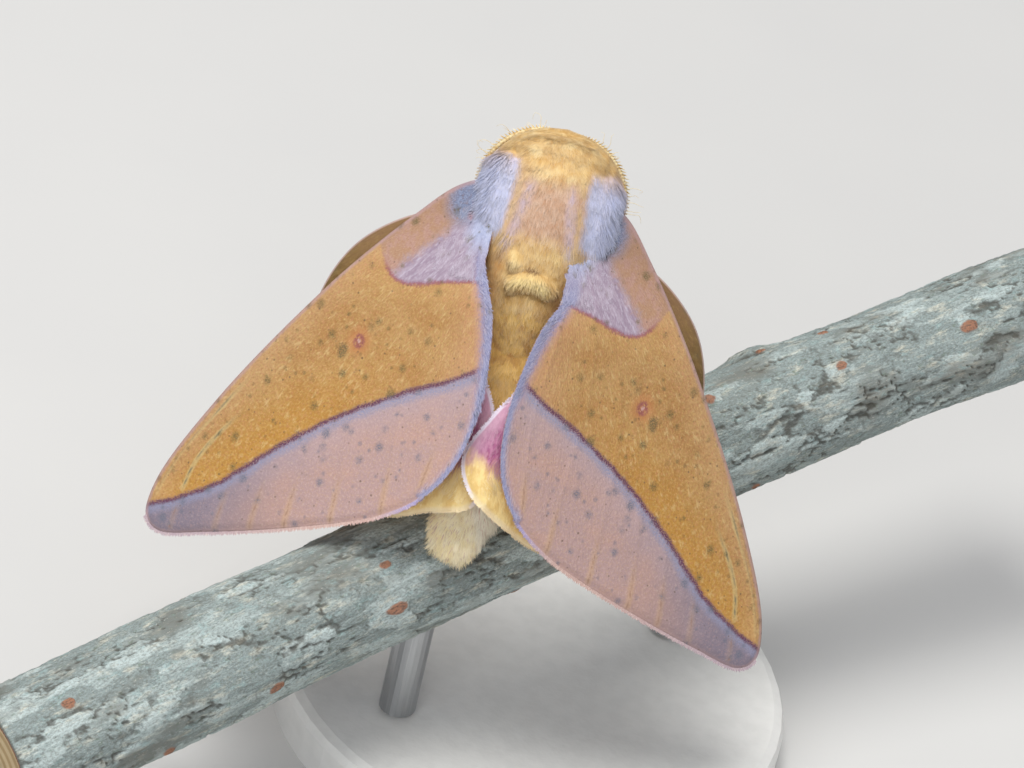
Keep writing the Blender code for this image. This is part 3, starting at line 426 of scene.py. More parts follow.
ROLL_RADII = (0.55, 0.5, 0.28)
ROLL_STEPS = (-1.05, -0.7, -0.35, 0.0, 0.35, 0.7, 1.05)
LOBE_ASIDE = 1.15
LUMPS = (  # centre and radii: collar, nape, broad fur at the waist, lobe before the roll, tail
    ((0.5, 4.6, -0.1), (4.2, 3.5, 2.9)),
    ((0.5, 6.2, 0.3), (2.9, 1.6, 1.9)),
    ((BODY_SWAY + 0.1, -0.2, 1.2), (3.15, 3.4, 1.75)),
    ((WAIST - LOBE_ASIDE, -0.75, ROLL_HEIGHT), (0.6, 0.55, 0.16)),
    ((-0.35, -17.3, -0.5), (1.65, 1.75, 0.5)),
)
SKIN_GRID = 0.16
SHOULDER = ((3.45, 3.9, 0.2), (1.0, 2.0, 1.8))
EYE_RADIUS = 1.15
EYE_PLACE = Vector((2.1, 6.3, -2.0))

STRAIGHT_UP = Vector((0, 0, 1))
SIDES = (("left", -1), ("right", 1))
view_up = Vector((0, math.sin(VIEW_PITCH), math.cos(VIEW_PITCH)))
view_in = Vector((0, math.cos(VIEW_PITCH), -math.sin(VIEW_PITCH)))
tail_spot = twig_centre(TAIL_PLACE_ON_TWIG) - TAIL_CLEARANCE * view_in - TAIL_DROP * view_up
body_spot = tail_spot - TAIL_END * Vector((0, math.cos(BODY_PITCH), math.sin(BODY_PITCH)))
POSE = Matrix.Scale(MILLIMETRE, 4) @ Matrix.Translation(body_spot) @ Matrix.Rotation(BODY_PITCH, 4, "X")


def section_at(sections, place):
    """Half width, half height and middle height of a body part at one place along it, on smooth curves."""
    ordered = np.array(sorted(sections))
    places, values = ordered[:, 0], ordered[:, 1:]
    slopes = np.gradient(values, places, axis=0)
    place = min(max(place, places[0]), places[-1])
    i = max(1, int(np.searchsorted(places, place)))
    wide = places[i] - places[i - 1]
    t = (place - places[i - 1]) / wide
    leave, arrive = wide * slopes[i - 1], wide * slopes[i]
    near, far = values[i - 1], values[i]
    return near + t * leave + t * t * (3 * (far - near) - 2 * leave - arrive) + t**3 * (
        2 * (near - far) + leave + arrive
    )


def sway(place):
    """How far the body's middle line lies to the right here."""
    return BODY_SWAY * step_between(*SWAY_REACH, place)


def mirrored(points, side):
    """Points of the thorax or head, given for the right side, on either side of the middle line."""
    return [Vector((BODY_SWAY + side * x, y, z)) for x, y, z in points]


def add_loft(mesh, rings, sides):
    """Adds a closed skin through ovals, each given as the matrix that carries a unit circle there."""
    before = None
    for matrix in rings:
        ring = bmesh.ops.create_circle(mesh, segments=sides, radius=1, matrix=matrix)["verts"]
        edges = list({edge for vert in ring for edge in vert.link_edges})
        if before is None:
            bmesh.ops.contextual_create(mesh, geom=edges)
        else:
            bmesh.ops.bridge_loops(mesh, edges=before + edges)
        before = edges
    bmesh.ops.contextual_create(mesh, geom=before)


def trunk_rings(sections, steps, out):
    """Ovals along a body part, grown by out, closer together at its round ends."""
    first, last = sections[0][0], sections[-1][0]
    rings = []
    for step in range(steps + 1):
        share = 0.5 - 0.5 * math.cos(math.pi * step / steps)
        place = first + (last - first) * share
        half_width, half_height, middle = section_at(sections, place)
        place += math.copysign(out, first - last) * math.cos(math.pi * share)
        turned = Matrix.Translation((sway(place), place, middle)) @ Matrix.Rotation(math.pi / 2, 4, "X")
        size = (max(half_width + out, 0.05), max(half_height + out, 0.05), 1, 1)
        rings.append(turned @ Matrix.Diagonal(size))
    return rings


def tube_rings(path, radii, up):
    """Ovals square to a path, with the half width and half height given at each of its points."""
    rings = []
    for i, place in enumerate(path):
        along = (path[min(i + 1, len(path) - 1)] - path[max(i - 1, 0)]).normalized()
        side = up.cross(along).normalized()
        turned = Matrix((side, along.cross(side), along)).transposed().to_4x4()
        rings.append(Matrix.Translation(place) @ turned @ Matrix.Diagonal((*radii[i], 1, 1)))
    return rings


def smooth_path(points, count):
    """Count points along a smooth curve through the given ones, spaced by their chord lengths."""
    points = [Vector(point) for point in points]
    points = [2 * points[0] - points[1], *points, 2 * points[-1] - points[-2]]
    knots = [0.0]
    for first, second in zip(points, points[1:]):
        knots.append(knots[-1] + math.sqrt((second - first).length))
    last = len(points) - 2
    found = []
    for step in range(count):
        place = knots[1] + (knots[last] - knots[1]) * step / (count - 1)
        i = max(1, min(last - 1, next(k for k in range(1, last + 1) if knots[k + 1] > place or k == last)))
        t = (place - knots[i]) / (knots[i + 1] - knots[i])
        before, start, end, after = points[i - 1 : i + 3]
        wide = knots[i + 1] - knots[i]
        leave = wide * (
            (start - before) / (knots[i] - knots[i - 1])
            - (end - before) / (knots[i + 1] - knots[i - 1])
            + (end - start) / wide
        )
        arrive = wide * (
            (end - start) / wide
            - (after - start) / (knots[i + 2] - knots[i])
            + (after - end) / (knots[i + 2] - knots[i + 1])
        )
        found.append(
            (2 * t**3 - 3 * t**2 + 1) * start
            + (t**3 - 2 * t**2 + t) * leave
            + (3 * t**2 - 2 * t**3) * end
            + (t**3 - t**2) * arrive
        )
    return found


flesh = bmesh.new()
for sections, depth in (
    (HEAD_SECTIONS, COAT_DEPTH),
    (THORAX_SECTIONS, COAT_DEPTH),
    (ABDOMEN_SECTIONS, COAT_DEPTH),
    (TAIL_SECTIONS, 0.1),
):
    add_loft(flesh, trunk_rings(sections, 26, -depth), 40)
lumps = list(LUMPS)
for side in (-1, 1):
    centre = mirrored([TEGULA_CENTRE - Vector((0, 0, side * TEGULA_LOWER))], side)[0]
    turned = Matrix.Rotation(side * TEGULA_TURN, 4, "Z") @ Matrix.Rotation(side * TEGULA_TILT, 4, "Y")
    placed = Matrix.Translation(centre) @ turned @ Matrix.Diagonal((*TEGULA_RADII, 1))
    bmesh.ops.create_uvsphere(flesh, u_segments=32, v_segments=20, radius=1, matrix=placed)
    lumps.append((mirrored([SHOULDER[0]], side)[0], SHOULDER[1]))
    palp = mirrored(smooth_path(PALP_PATH, 9), side)
    radii = [(0.3, 0.3)] * 7 + [(0.25, 0.25), (0.12, 0.12)]
    add_loft(flesh, tube_rings(palp, radii, STRAIGHT_UP), 12)
for out in ROLL_STEPS:
    arched = ROLL_PLACE - ROLL_ARCH * out * out
    lumps.append(((WAIST + out, arched, ROLL_HEIGHT - ROLL_FALL * out * out), ROLL_RADII))
for centre, radii in lumps:
    placed = Matrix.Translation(centre) @ Matrix.Diagonal((*radii, 1))
    bmesh.ops.create_uvsphere(flesh, u_segments=24, v_segments=16, radius=1, matrix=placed)
flesh_data = as_data(flesh, "body_skin")
skin_object = bpy.data.objects.new("body_skin", flesh_data)
bpy.context.scene.collection.objects.link(skin_object)
fuse = skin_object.modifiers.new("fuse", "REMESH")
fuse.mode = "VOXEL"
fuse.voxel_size = SKIN_GRID
settle = skin_object.modifiers.new("settle", "SMOOTH")
settle.factor = 0.5
settle.iterations = 8
skin_data = bpy.data.meshes.new_from_object(skin_object.evaluated_get(bpy.context.evaluated_depsgraph_get()))
bpy.data.objects.remove(skin_object)
bpy.data.meshes.remove(flesh_data)


def points_of(data):
    """Each point of a mesh as a row of three numbers."""
    found = np.empty(len(data.vertices) * 3, np.float32)
    data.vertices.foreach_get("co", found)
    return found.reshape(-1, 3).astype(float)


def add_one_strand(data, *strand):
    """Gives a piece without tufts what their finishes read: each point as root, and one strand for all."""
    spots = points_of(data)
    add_values(data, "root", spots)
    add_values(data, "strand", np.tile(strand, (len(spots), 1)))


def place_mesh(data):
    """Carries a mesh from the moth's own frame to the model's."""
    data.transform(POSE)
    data.update()


def step(low, high, values):
    """The smooth step for a whole row of values at once."""
    share = np.clip((values - low) / (high - low), 0, 1)
    return share * share * (3 - 2 * share)


class Ground:
    """A skin that tufts grow on: its corners and their normals, triangle by triangle."""

    def __init__(self, data):
        data.calc_loop_triangles()
        corners = np.empty(len(data.loop_triangles) * 3, np.int32)
        data.loop_triangles.foreach_get("vertices", corners)
        self.corners = corners.reshape(-1, 3)
        self.points = points_of(data)
        normals = np.empty(len(data.vertices) * 3, np.float32)
        data.vertices.foreach_get("normal", normals)
        self.normals = normals.reshape(-1, 3).astype(float)

    def roots(self, count, density, draw):
        """Evenly scattered places and their normals, closer where the density is higher."""
        spots = self.points[self.corners]
        area = np.linalg.norm(np.cross(spots[:, 1] - spots[:, 0], spots[:, 2] - spots[:, 0]), axis=1)
        middle = spots.mean(axis=1)
        total = np.cumsum(area * density(middle))
        wanted = (np.arange(count) + draw.random(count)) / count * total[-1]
        chosen = np.minimum(np.searchsorted(total, wanted), len(total) - 1)
        first, second = draw.random((2, count))
        flip = first + second > 1
        first[flip], second[flip] = 1 - first[flip], 1 - second[flip]
        shares = np.stack([1 - first - second, first, second], axis=1)[:, :, None]
        places = (spots[chosen] * shares).sum(axis=1)
        normals = (self.normals[self.corners[chosen]] * shares).sum(axis=1)
        return places, unit(normals)


def unit(vectors):
    return vectors / np.maximum(np.linalg.norm(vectors, axis=1), 1e-9)[:, None]


body_ground = Ground(skin_data)
add_one_strand(skin_data, 0.3, 0.5, 0.5)


def body_colours(paint):
    """The colours of the coat, with painted shade in its hollows and at the tufts' roots, read at each tuft's
    middle, so that skin and coat carry the same markings.
    """
    root = paint.kept("root")
    share, chance, second = paint.kept("strand").parts()
    cloud = root.noise(0.9, 2.0)
    tuft = root.noise(2.6, 2.0)
    x, y, z = root.moved(root.noise(1.7, 2.0, output="Color"), 0.35).parts()
    on_thorax = y.rise(-5.0, -2.5)
    across = abs(x - 0.1 - 0.5 * on_thorax)
    above = z.rise(0.2, 1.6)

    fine = tuft.rise(0.35, 0.65)
    gold = paint.layers(
        paint.mix(tone(214, 178, 118), tone(196, 154, 90), fine),
        (228, 200, 142, cloud.rise(0.45, 0.7) * 0.8),
    )
    peach = paint.mix(tone(200, 164, 138), tone(184, 142, 112), fine)
    dome = paint.layers(
        paint.mix(tone(216, 180, 118), tone(198, 154, 86), fine),
        (232, 206, 150, cloud.rise(0.5, 0.7) * 0.6),
    )
    tawny = paint.mix(tone(218, 176, 112), tone(198, 148, 86), fine)
    blue = paint.layers(
        paint.mix(tone(194, 196, 222), tone(174, 179, 208), tuft.rise(0.3, 0.7)),
        (168, 176, 208, across.rise(3.3, 4.2) * 0.6),
        (206, 190, 200, (y + cloud - 0.5).rise(4.4, 5.6) * 0.6),
    )
    pale = paint.layers(
        paint.mix(tone(254, 238, 198), tone(246, 224, 168), fine),
        (244, 236, 216, (x + 0.4 * (y + 17.0)).rise(0.2, 1.1) * 0.8),
    )
    olive = paint.layers(
        paint.mix(tone(222, 184, 110), tone(198, 158, 84), fine),
        (176, 136, 74, (y * 3.7).maths("SINE").rise(0.2, 1.0) * 0.2),
        (156, 108, 56, root.noise(1.4, 3.0).rise(0.5, 0.62) * y.rise(-9.5, -7.0) * 0.55),
        (pale, y.rise(-11.5, -15.0)),
    )
    below = paint.mix(tone(228, 198, 160), tone(220, 176, 150), cloud.rise(0.4, 0.65))

    lilac_line = across - (1.2 + (4.4 - y) * 0.19)
    lilac = lilac_line.hump(0.0, 0.55) * y.rise(-1.2, 0.4) * y.rise(5.4, 4.0) * above * tuft.rise(0.25, 0.65)
    tan_line = across - (1.8 + (4.9 - y) * 0.13)
    tanned = tan_line.hump(0.0, 0.42) * y.rise(-0.6, 0.6) * above * cloud.rise(0.3, 0.5)
    cape = (across + 0.08 * y).rise(2.3, 2.9) * (y + 0.8 * (cloud - 0.5)).rise(0.2, 1.2)
    cape = cape * (y + cloud - 0.5).rise(6.6, 5.0) * z.rise(-1.6, -0.6)
    front = (y - 0.10 * across * across + (cloud - 0.5)).rise(3.6, 5.4) * (1 - cape * y.rise(6.2, 5.2))
    lobes = y.hump(-0.8, 0.7) * (x - WAIST + LOBE_ASIDE).hump(0.0, 0.5) * above
    flank = across.rise(1.3, 2.2) * y.rise(0.6, -0.6) * y.rise(-4.4, -3.2)
    # The dip before the roll is painted dark brown as shade.
    painted_dimple_shade = y.hump(-1.15, 0.42) * across.rise(0.75, 0.2) * above
    arched = y + ROLL_ARCH * across * across
    roll = arched.hump(ROLL_PLACE, 0.55) * across.rise(1.6, 0.9) * above
    shadow = arched.hump(ROLL_PLACE - 0.72, 0.3) * across.rise(1.7, 1.0) * above
    return paint.layers(
        peach,
        (gold, y.rise(1.6, 0.2)),
        (196, 182, 204, lilac * 0.65),
        (212, 178, 124, tanned * 0.6),
        (blue, cape),
        (dome, front),
        (236, 210, 148, lobes * 0.6),
        (tawny, flank),
        (112, 80, 46, painted_dimple_shade * 0.9),
        (246, 220, 150, roll * (0.5 + 0.4 * tuft)),
        (138, 104, 52, shadow * 0.7),
        (olive, y.rise(-2.9, -4.2)),
        (below, z.rise(0.1, -1.2) * y.rise(7.2, 5.6) * y.rise(-15.5, -14.0) * 0.75),
        (228, 190, 168, second.rise(0.86, 1.0) * y.rise(-14.5, -16.0)),
        (255, 248, 232, share.rise(0.45, 1.1) * 0.2),
        # Darker roots of the tufts: painted shade deep in the coat.
        (130, 102, 74, share.rise(0.3, -0.05) * 0.16),
        (136, 110, 86, second.rise(0.55, 1.0) * 0.14),
        (146, 104, 66, chance.rise(0.93, 1.0) * front.rise(-0.6, 1.0) * 0.5),
    )


soft_scales, paint = finish("soft_scales", Specular_IOR_Level=0.2, Sheen_Weight=0.25, Sheen_Roughness=0.5)
dress(soft_scales, Base_Color=body_colours(paint), Roughness=0.75)
fur_strands, paint = finish("fur_strands", Specular_IOR_Level=0.3, Sheen_Weight=0.2, Sheen_Roughness=0.4)
dress(fur_strands, Base_Color=body_colours(paint), Roughness=0.6)
place_mesh(skin_data)
show_piece("body_skin", skin_data, soft_scales, ["thorax", "head", "abdomen", "abdomen_tuft"])

# Coat of the body
# Hair-like scales in fine tufts, rooted in the skin and combed back from the collar, forward over the face.
# They stand up in a crest over the waist, and lie as long pale capes over the roots of the wings.

THORAX_CROWN = np.array((0.4, 7.9, 1.2))
HEAD_CROWN = np.array((0.45, 4.9, 1.9))
TAIL_FAN = np.array((0.3, -13.0, -0.3))
CREST_PLACE = -1.9
UNWRAP_BACK = -21.0
UNWRAP_LENGTH = 31.0
PATCH = 0.003
ROUNDING = 0.45
SHORT_TUFT = ((0.0, 0.9), (0.5, 0.85))  # each ring's share of the length, and of the width
LONG_TUFT = ((0.0, 0.85), (0.36, 1.0), (0.72, 0.7))


def ruffle(places, scale, seed):
    """A soft, wandering direction for each place, which gathers the tufts into locks."""
    found = [noise.noise_vector(Vector(place * scale) + Vector((seed, 0, 0))) for place in places]
    return np.array([tuple(vector) for vector in found])


def grow(name, places, normals, lies, size, unwrapped, draw, material, form=SHORT_TUFT, brush=0.0):
    """Tufts joined into one mesh: closed three-sided locks that leave their roots along the lie and taper.

    They are shaded mostly as the skin under them is, which gives the coat its velvet look. A brush also
    stands out of the skin where the lie does.
    """
    count = len(places)
    lengths, widths, lifts = (np.broadcast_to(values, count)[:, None] for values in size)
    side = unit(np.cross(normals, lies))
    standing = brush * np.clip((unit(lies) * normals).sum(axis=1), 0, 1)[:, None]
    along = np.sqrt(1 - standing**2) * np.cross(side, normals) + standing * normals
    sway = draw.normal(0, 0.12, (count, 1))
    chance = draw.random((count, 2))
    rings = len(form)
    each = 3 * rings + 1
    points = np.empty((count, each, 3))
    strand = np.empty((count, each, 3))
    patch = np.empty((count, each, 2))
    facing = np.empty((count, each, 3))
    for i, (share, width) in enumerate((*form, (1.0, 0.0))):
        rise = lifts * share * (1.35 - 0.75 * share) - 0.05 * (share == 0)
        middle = places + lengths * (share * along + rise * normals + sway * share * share * side)
        for k, (out, top) in enumerate(((1.0, 0.0), (0.0, 0.5), (-1.0, 0.0))[: 3 if i < rings else 1]):
            row = 3 * i + k
            points[:, row] = middle + 0.5 * width * widths * (out * side + top * normals)
            strand[:, row] = np.column_stack([np.full(count, share), chance])
            patch[:, row] = unwrapped + PATCH * np.array([0.5 * out * (i < rings), share - 0.5])
            facing[:, row] = normals + ROUNDING * out * side * (i < rings)
    quads = []
    for i in range(rings - 1):
        for k in range(3):
            n = (k + 1) % 3
            quads.append((3 * i + k, 3 * i + n, 3 * i + 3 + n, 3 * i + 3 + k))
    last = 3 * rings
    triples = [(last - 3, last - 2, last), (last - 2, last - 1, last), (last - 1, last - 3, last), (2, 1, 0)]
    starts = each * np.arange(count)[:, None, None]
    faces = (starts + np.array(quads)).reshape(-1, 4).tolist()
    faces += (starts + np.array(triples)).reshape(-1, 3).tolist()
    data = bpy.data.meshes.new(name)
    data.from_pydata(points.reshape(-1, 3), [], faces)
    add_values(data, "root", np.repeat(places + 0.5 * lengths * along, each, axis=0))
    add_values(data, "strand", strand.reshape(-1, 3))
    corners = np.empty(len(data.loops), np.int32)
    data.loops.foreach_get("vertex_index", corners)
    unwrap = data.uv_layers.new(name="OFBake")
    unwrap.data.foreach_set("uv", patch.reshape(-1, 2)[corners].astype(np.float32).ravel())
    place_mesh(data)
    data.shade_smooth()
    facing = unit(facing.reshape(-1, 3)) @ np.array(POSE.to_3x3().normalized()).T
    data.normals_split_custom_set_from_vertices(facing.tolist())
    return show_piece(name, data, material, smooth=False)


def body_unwrap(places):
    """The skin rolled out round the body's length: turn across, place along."""
    turn = np.arctan2(places[:, 0], places[:, 2] + 0.4) / (2 * math.pi)
    along = (places[:, 1] - UNWRAP_BACK) / UNWRAP_LENGTH
    return np.column_stack([0.5 + 0.97 * turn, 0.01 + 0.98 * along])


def clear_of_eyes(places):
    """1 away from the eyes and 0 on them."""
    kept = np.ones(len(places))
    for side in (-1, 1):
        far = np.linalg.norm(places - np.array(mirrored([EYE_PLACE], side)[0]), axis=1)
        kept *= step(EYE_RADIUS + 0.02, EYE_RADIUS + 0.18, far)
    return kept


def on_cape(places):
    """1 on the rounded flaps over the wing roots, and 0 elsewhere."""
    x = np.abs(places[:, 0] - BODY_SWAY)
    inside = ((x - 3.0) / 1.5) ** 2 + ((places[:, 1] - 3.0) / 3.4) ** 2
    return step(1.15, 0.8, inside) * step(-0.2, 0.6, places[:, 2])


def body_coat(
    name, count, density, seed, length, width, lift, flow, ruffled=0.15, form=SHORT_TUFT, brush=0.0
):
    """One stretch of the coat, combed along the flow with some ruffling."""
    draw = np.random.default_rng(seed)
    places, normals = body_ground.roots(count, density, draw)
    lies = unit(flow(places)) + ruffled * (ruffle(places, 0.7, seed) + ruffle(places, 2.3, seed + 9))
    lies += draw.normal(0, 0.06, lies.shape)
    clump = ruffle(places, 1.5, seed + 5)[:, 0]
    lengths = length(places) * draw.uniform(0.75, 1.2, count) * (1 + 0.25 * clump)
    lifts = lift(places) * draw.uniform(0.7, 1.3, count) * (1 + 0.5 * clump)
    size = (lengths, width * draw.uniform(0.7, 1.3, count), lifts)
    grow(name, places, normals, lies, size, body_unwrap(places), draw, fur_strands, form, brush)


def flow_back(places):
    """Back from the collar and drawn in towards the waist, where the roll parts to both sides."""
    lies = unit(places - THORAX_CROWN)
    parted = np.exp(-(((places[:, 1] - CREST_PLACE) / 0.5) ** 2)) * step(2.0, 2.8, places[:, 2])
    lies[:, 0] += 0.5 * parted * np.clip(places[:, 0] - WAIST, -1, 1)
    return lies


def flow_face(places):
    """Forward and down over the face."""
    return unit(places - HEAD_CROWN)


def flow_cape(places):
    """Straight back and a little outwards over the wings."""
    lies = np.tile((0.0, -1.0, -0.06), (len(places), 1))
    across = places[:, 0] - BODY_SWAY
    lies[:, 0] = np.sign(across) * (0.1 + 0.5 * step(3.2, 4.2, np.abs(across)))
    return lies


def cape_margin(places):
    """1 along the outer side and hind end of the flaps, and 0 elsewhere."""
    x = np.abs(places[:, 0] - BODY_SWAY)
    return np.maximum(step(3.1, 3.7, x), step(1.4, 0.4, places[:, 1]))


def flow_margin(places):
    """Outwards over the wing roots at the sides of the flaps, and straight back at their ends."""
    lies = flow_cape(places)
    lies[:, 0] *= 1 + 1.2 * step(0.0, 3.0, places[:, 1])
    lies[:, 2] -= 0.25
    return lies


def flow_abdomen(places):
    """Straight back, and a little apart."""
    lies = np.tile((0.0, -1.0, 0.0), (len(places), 1))
    lies[:, 0] = 0.05 * places[:, 0]
    return lies


def crest_lift(places):
    """How steeply the tufts of the back stand up, most of all along the crest over the waist."""
    crest = np.exp(-(((places[:, 1] - CREST_PLACE) / 0.75) ** 2)) * step(1.0, 2.4, places[:, 2])
    return 0.08 + 0.18 * crest


def even(value):
    """The same value at every place."""
    return lambda places: np.full(len(places), value)


body_coat(
    "coat_collar", 19000,
    lambda p: step(5.0, 5.5, p[:, 1]) * clear_of_eyes(p) * (1 - on_cape(p))
    * np.where(p[:, 2] > -0.5, 1.0, 0.5),
    11, lambda p: 0.42 + 0.2 * step(7.2, 6.0, p[:, 1]), 0.065, even(0.1),
    lambda p: np.where((p[:, 1] > 7.7)[:, None] | (p[:, 2] < 0.0)[:, None], flow_face(p), flow_back(p)),
)
body_coat(
    "coat_back", 13000,
    lambda p: step(5.6, 5.1, p[:, 1]) * step(-5.0, -4.6, p[:, 1]) * step(-0.6, 0.4, p[:, 2])
    * (1 - on_cape(p)),
    12, lambda p: 0.72 - 0.1 * np.exp(-(((p[:, 1] - CREST_PLACE) / 0.6) ** 2)), 0.06,
    crest_lift, flow_back,
)
for name, side in SIDES:
    body_coat(
        f"coat_cape_{name}", 6000, lambda p: on_cape(p) * ((p[:, 0] - BODY_SWAY) * side > 0),
        13 + side, lambda p: 0.85 + 0.4 * step(2.5, -0.5, p[:, 1]), 0.06,
        even(0.07), flow_cape, 0.1,
    )
    body_coat(
        f"coat_cape_edge_{name}", 2600,
        lambda p: on_cape(p) * cape_margin(p) * ((p[:, 0] - BODY_SWAY) * side > 0),
        23 + side, even(1.15), 0.055, even(0.16), flow_margin, 0.12,
    )
body_coat(
    "coat_breast", 7000,
    lambda p: step(5.5, 5.1, p[:, 1]) * step(-5.0, -4.6, p[:, 1]) * step(0.4, -0.6, p[:, 2]),
    15, even(1.15), 0.11, even(0.2), flow_back, 0.3,
)
body_coat(
    "coat_abdomen_above", 13000,
    lambda p: step(-4.2, -4.8, p[:, 1]) * step(-17.6, -16.8, p[:, 1]) * step(-1.0, -0.2, p[:, 2])
    * (0.3 + 0.7 * step(-14.5, -13.0, p[:, 1])),
    16, even(0.75), 0.07, even(0.09), flow_abdomen, 0.28,
)
body_coat(
    "coat_abdomen_below", 7500,
    lambda p: step(-4.2, -4.8, p[:, 1]) * step(-17.6, -16.8, p[:, 1]) * step(-0.2, -1.0, p[:, 2]),
    17, even(1.0), 0.11, even(0.18), flow_abdomen, 0.25,
)
body_coat(
    "coat_tail", 11000, lambda p: step(-15.4, -16.2, p[:, 1]),
    18, lambda p: 0.8 + 0.1 * step(-17.5, -18.8, p[:, 1]), 0.07,
    even(0.1), lambda p: unit(p - TAIL_FAN), 0.12, LONG_TUFT, 1.0,
)

# Wings
# Thin membranes that fold like a roof over the back, stiffened by veins and covered in flat scales.
# The forewings lie over the hindwings, and all four are rooted in the thorax under the capes.

ROOF_ANGLE = math.radians(32)
ROOF_EDGE = 0.9
ROOF_HEIGHT = 4.9
ROOF_FALL = 0.04
ROOF_CAMBER = 0.0020
WING_STEP = 1.25
LEFT_HIND_DROP = 1.0
WING_ROOT_DIP = 2.2
WING_ROOT_REACH = (-5.0, 1.5)
SKIN_ABOVE = 0.22
SKIN_BELOW = -0.12
VEIN_HEIGHT = 0.035
VEIN_WIDTH = 0.16
EDGE_REACH = 0.5
EDGE_THINNING = 0.65
PLEAT_DEPTH = 0.045
RIM_POINTS = 24
FORE_OUTLINE = {
    "costa": ((1.9, 3.9), (4.8, 3.6), (7.7, 1.05), (13.2, -5.1), (19.0, -12.85), (22.2, -18.7)),
    "outer": ((22.35, -21.0), (21.2, -21.8), (17.6, -21.3), (10.1, -19.6), (5.0, -18.0)),
    "inner": ((2.3, -16.3), (0.65, -14.0), (0.05, -10.6), (0.7, -5.2), (2.2, -1.2)),
    "root": ((1.9, -0.3), (1.9, 1.8)),
}
LEFT_FORE_COSTA = ((1.9, 3.9), (4.8, 3.3), (7.7, 0.95), (13.2, -5.1), (19.0, -12.85), (22.2, -18.7))
RIGHT_FORE_COSTA = ((1.9, 3.9), (4.8, 3.8), (7.7, 1.4), (13.2, -5.0), (19.0, -12.85), (22.2, -18.7))
LEFT_FORE_INNER = ((2.3, -16.3), (0.6, -14.0), (-0.15, -10.6), (0.35, -5.2), (1.9, -1.4))
RIGHT_FORE_INNER = ((2.3, -16.3), (0.65, -14.0), (0.1, -10.6), (0.95, -5.2), (2.4, -1.8))
HIND_OUTLINE = {
    "costa": ((2.4, 1.0), (5.0, 1.5), (7.9, 1.0), (11.3, -1.2), (13.0, -4.0), (13.7, -8.0)),
    "outer": ((13.5, -11.8), (11.4, -15.6), (8.0, -17.6), (4.6, -17.9), (1.9, -17.1)),
    "inner": ((-0.9, -15.6), (-1.95, -13.4), (-0.8, -10.6), (0.75, -7.8), (1.9, -4.8)),
    "root": ((2.0, -2.6), (2.2, -1.0)),
}
RIGHT_HIND_COSTA = ((2.4, 1.0), (5.0, 1.3), (8.3, 0.9), (12.0, -1.6), (13.6, -4.6), (14.0, -8.0))
LEFT_HIND_INNER = ((-1.0, -16.2), (-1.3, -13.4), (-1.1, -10.6), (0.2, -7.9), (1.7, -4.8))
OUTER_LINE = (
    (-0.5, -7.3), (0.5, -8.1), (2.0, -8.95), (4.8, -10.1), (7.2, -11.2), (10.4, -13.0), (13.8, -15.3),
    (17.1, -17.9), (19.5, -19.2), (22.3, -20.35), (24.0, -21.0),
)
INNER_LINE = (
    (-1.0, -2.6), (2.4, -2.9), (4.1, -3.15), (6.4, -3.62), (7.9, -3.5), (8.8, -2.8), (9.6, -1.6),
    (10.4, -0.3),
)
FORE_VEINS = (
    ((2.4, 2.9), (7.3, 0.1), (12.9, -6.0), (17.9, -12.6), (20.9, -17.0), (22.0, -19.8)),
    ((2.3, 1.8), (7.3, -2.2), (12.0, -7.9), (16.8, -13.4), (19.4, -17.0), (20.2, -21.4)),
    ((9.8, -6.6), (13.6, -12.0), (16.2, -16.8), (16.9, -21.1)),
    ((9.8, -7.9), (12.4, -12.6), (13.8, -16.8), (14.3, -20.5)),
    ((8.6, -7.6), (10.6, -12.5), (11.5, -16.5), (11.8, -20.0)),
    ((2.2, 0.9), (4.4, -2.2), (7.4, -6.6), (8.4, -11.5), (8.5, -16.0), (8.5, -19.1)),
    ((4.4, -2.2), (5.4, -8.5), (5.1, -14.0), (5.0, -18.0)),
    ((2.3, 0.2), (2.2, -5.0), (1.9, -11.0), (2.6, -16.0)),
)
HIND_VEIN_ENDS = (
    (13.6, -8.0), (13.2, -12.0), (11.4, -15.5), (8.4, -17.4), (5.2, -17.9), (1.9, -17.1), (-0.8, -15.5),
)
HIND_VEINS = [
    ((2.3, -0.8), (0.5 * out + 1.4, 0.5 * place - 0.6), (out, place)) for out, place in HIND_VEIN_ENDS
]


def wing_height(out, place, side, hind):
    """How far the wing's middle surface stands above the body's axis."""
    outward = np.maximum(out, 0)
    height = ROOF_HEIGHT - math.sin(ROOF_ANGLE) * outward - ROOF_CAMBER * outward**2 + ROOF_FALL * (place + 9)
    height = height - WING_ROOT_DIP * step(*WING_ROOT_REACH, place)
    if hind:
        height = height - WING_STEP
        if side < 0:
            height = height - LEFT_HIND_DROP * step(4.0, 0.0, outward)
    return height


def wing_point(out, place, side, hind):
    """Flat wing points laid on the roof over the back."""
    across = ROOF_EDGE + np.where(out > 0, out * math.cos(ROOF_ANGLE), out)
    return np.stack([side * across, place, wing_height(out, place, side, hind)], axis=-1)


def wing_normal(out, place, side, hind):
    here = wing_point(out, place, side, hind)
    down = wing_point(out + 0.3, place, side, hind) - here
    back = wing_point(out, place + 0.3, side, hind) - here
    return unit(np.cross(down, back) * side)


def outline_edges(outline):
    """Each edge of the outline as a smooth line of many points."""
    order = ("costa", "outer", "inner", "root")
    edges = {}
    for part, following in zip(order, order[1:] + order[:1]):
        before = outline[order[order.index(part) - 1]][-1]
        points = [before, *outline[part], outline[following][0], outline[following][1]]
        dense = np.array(smooth_path([(*point, 0) for point in points], 400))[:, :2]
        start = np.argmin(np.linalg.norm(dense - points[1], axis=1))
        end = np.argmin(np.linalg.norm(dense - points[-2], axis=1))
        edges[part] = dense[start : end + 1]
    return edges


def along_edge(edge, share):
    """Points at shares of an edge's length."""
    lengths = np.concatenate([[0], np.cumsum(np.linalg.norm(np.diff(edge, axis=0), axis=1))])
    return np.stack([np.interp(share * lengths[-1], lengths, edge[:, k]) for k in (0, 1)], axis=-1)


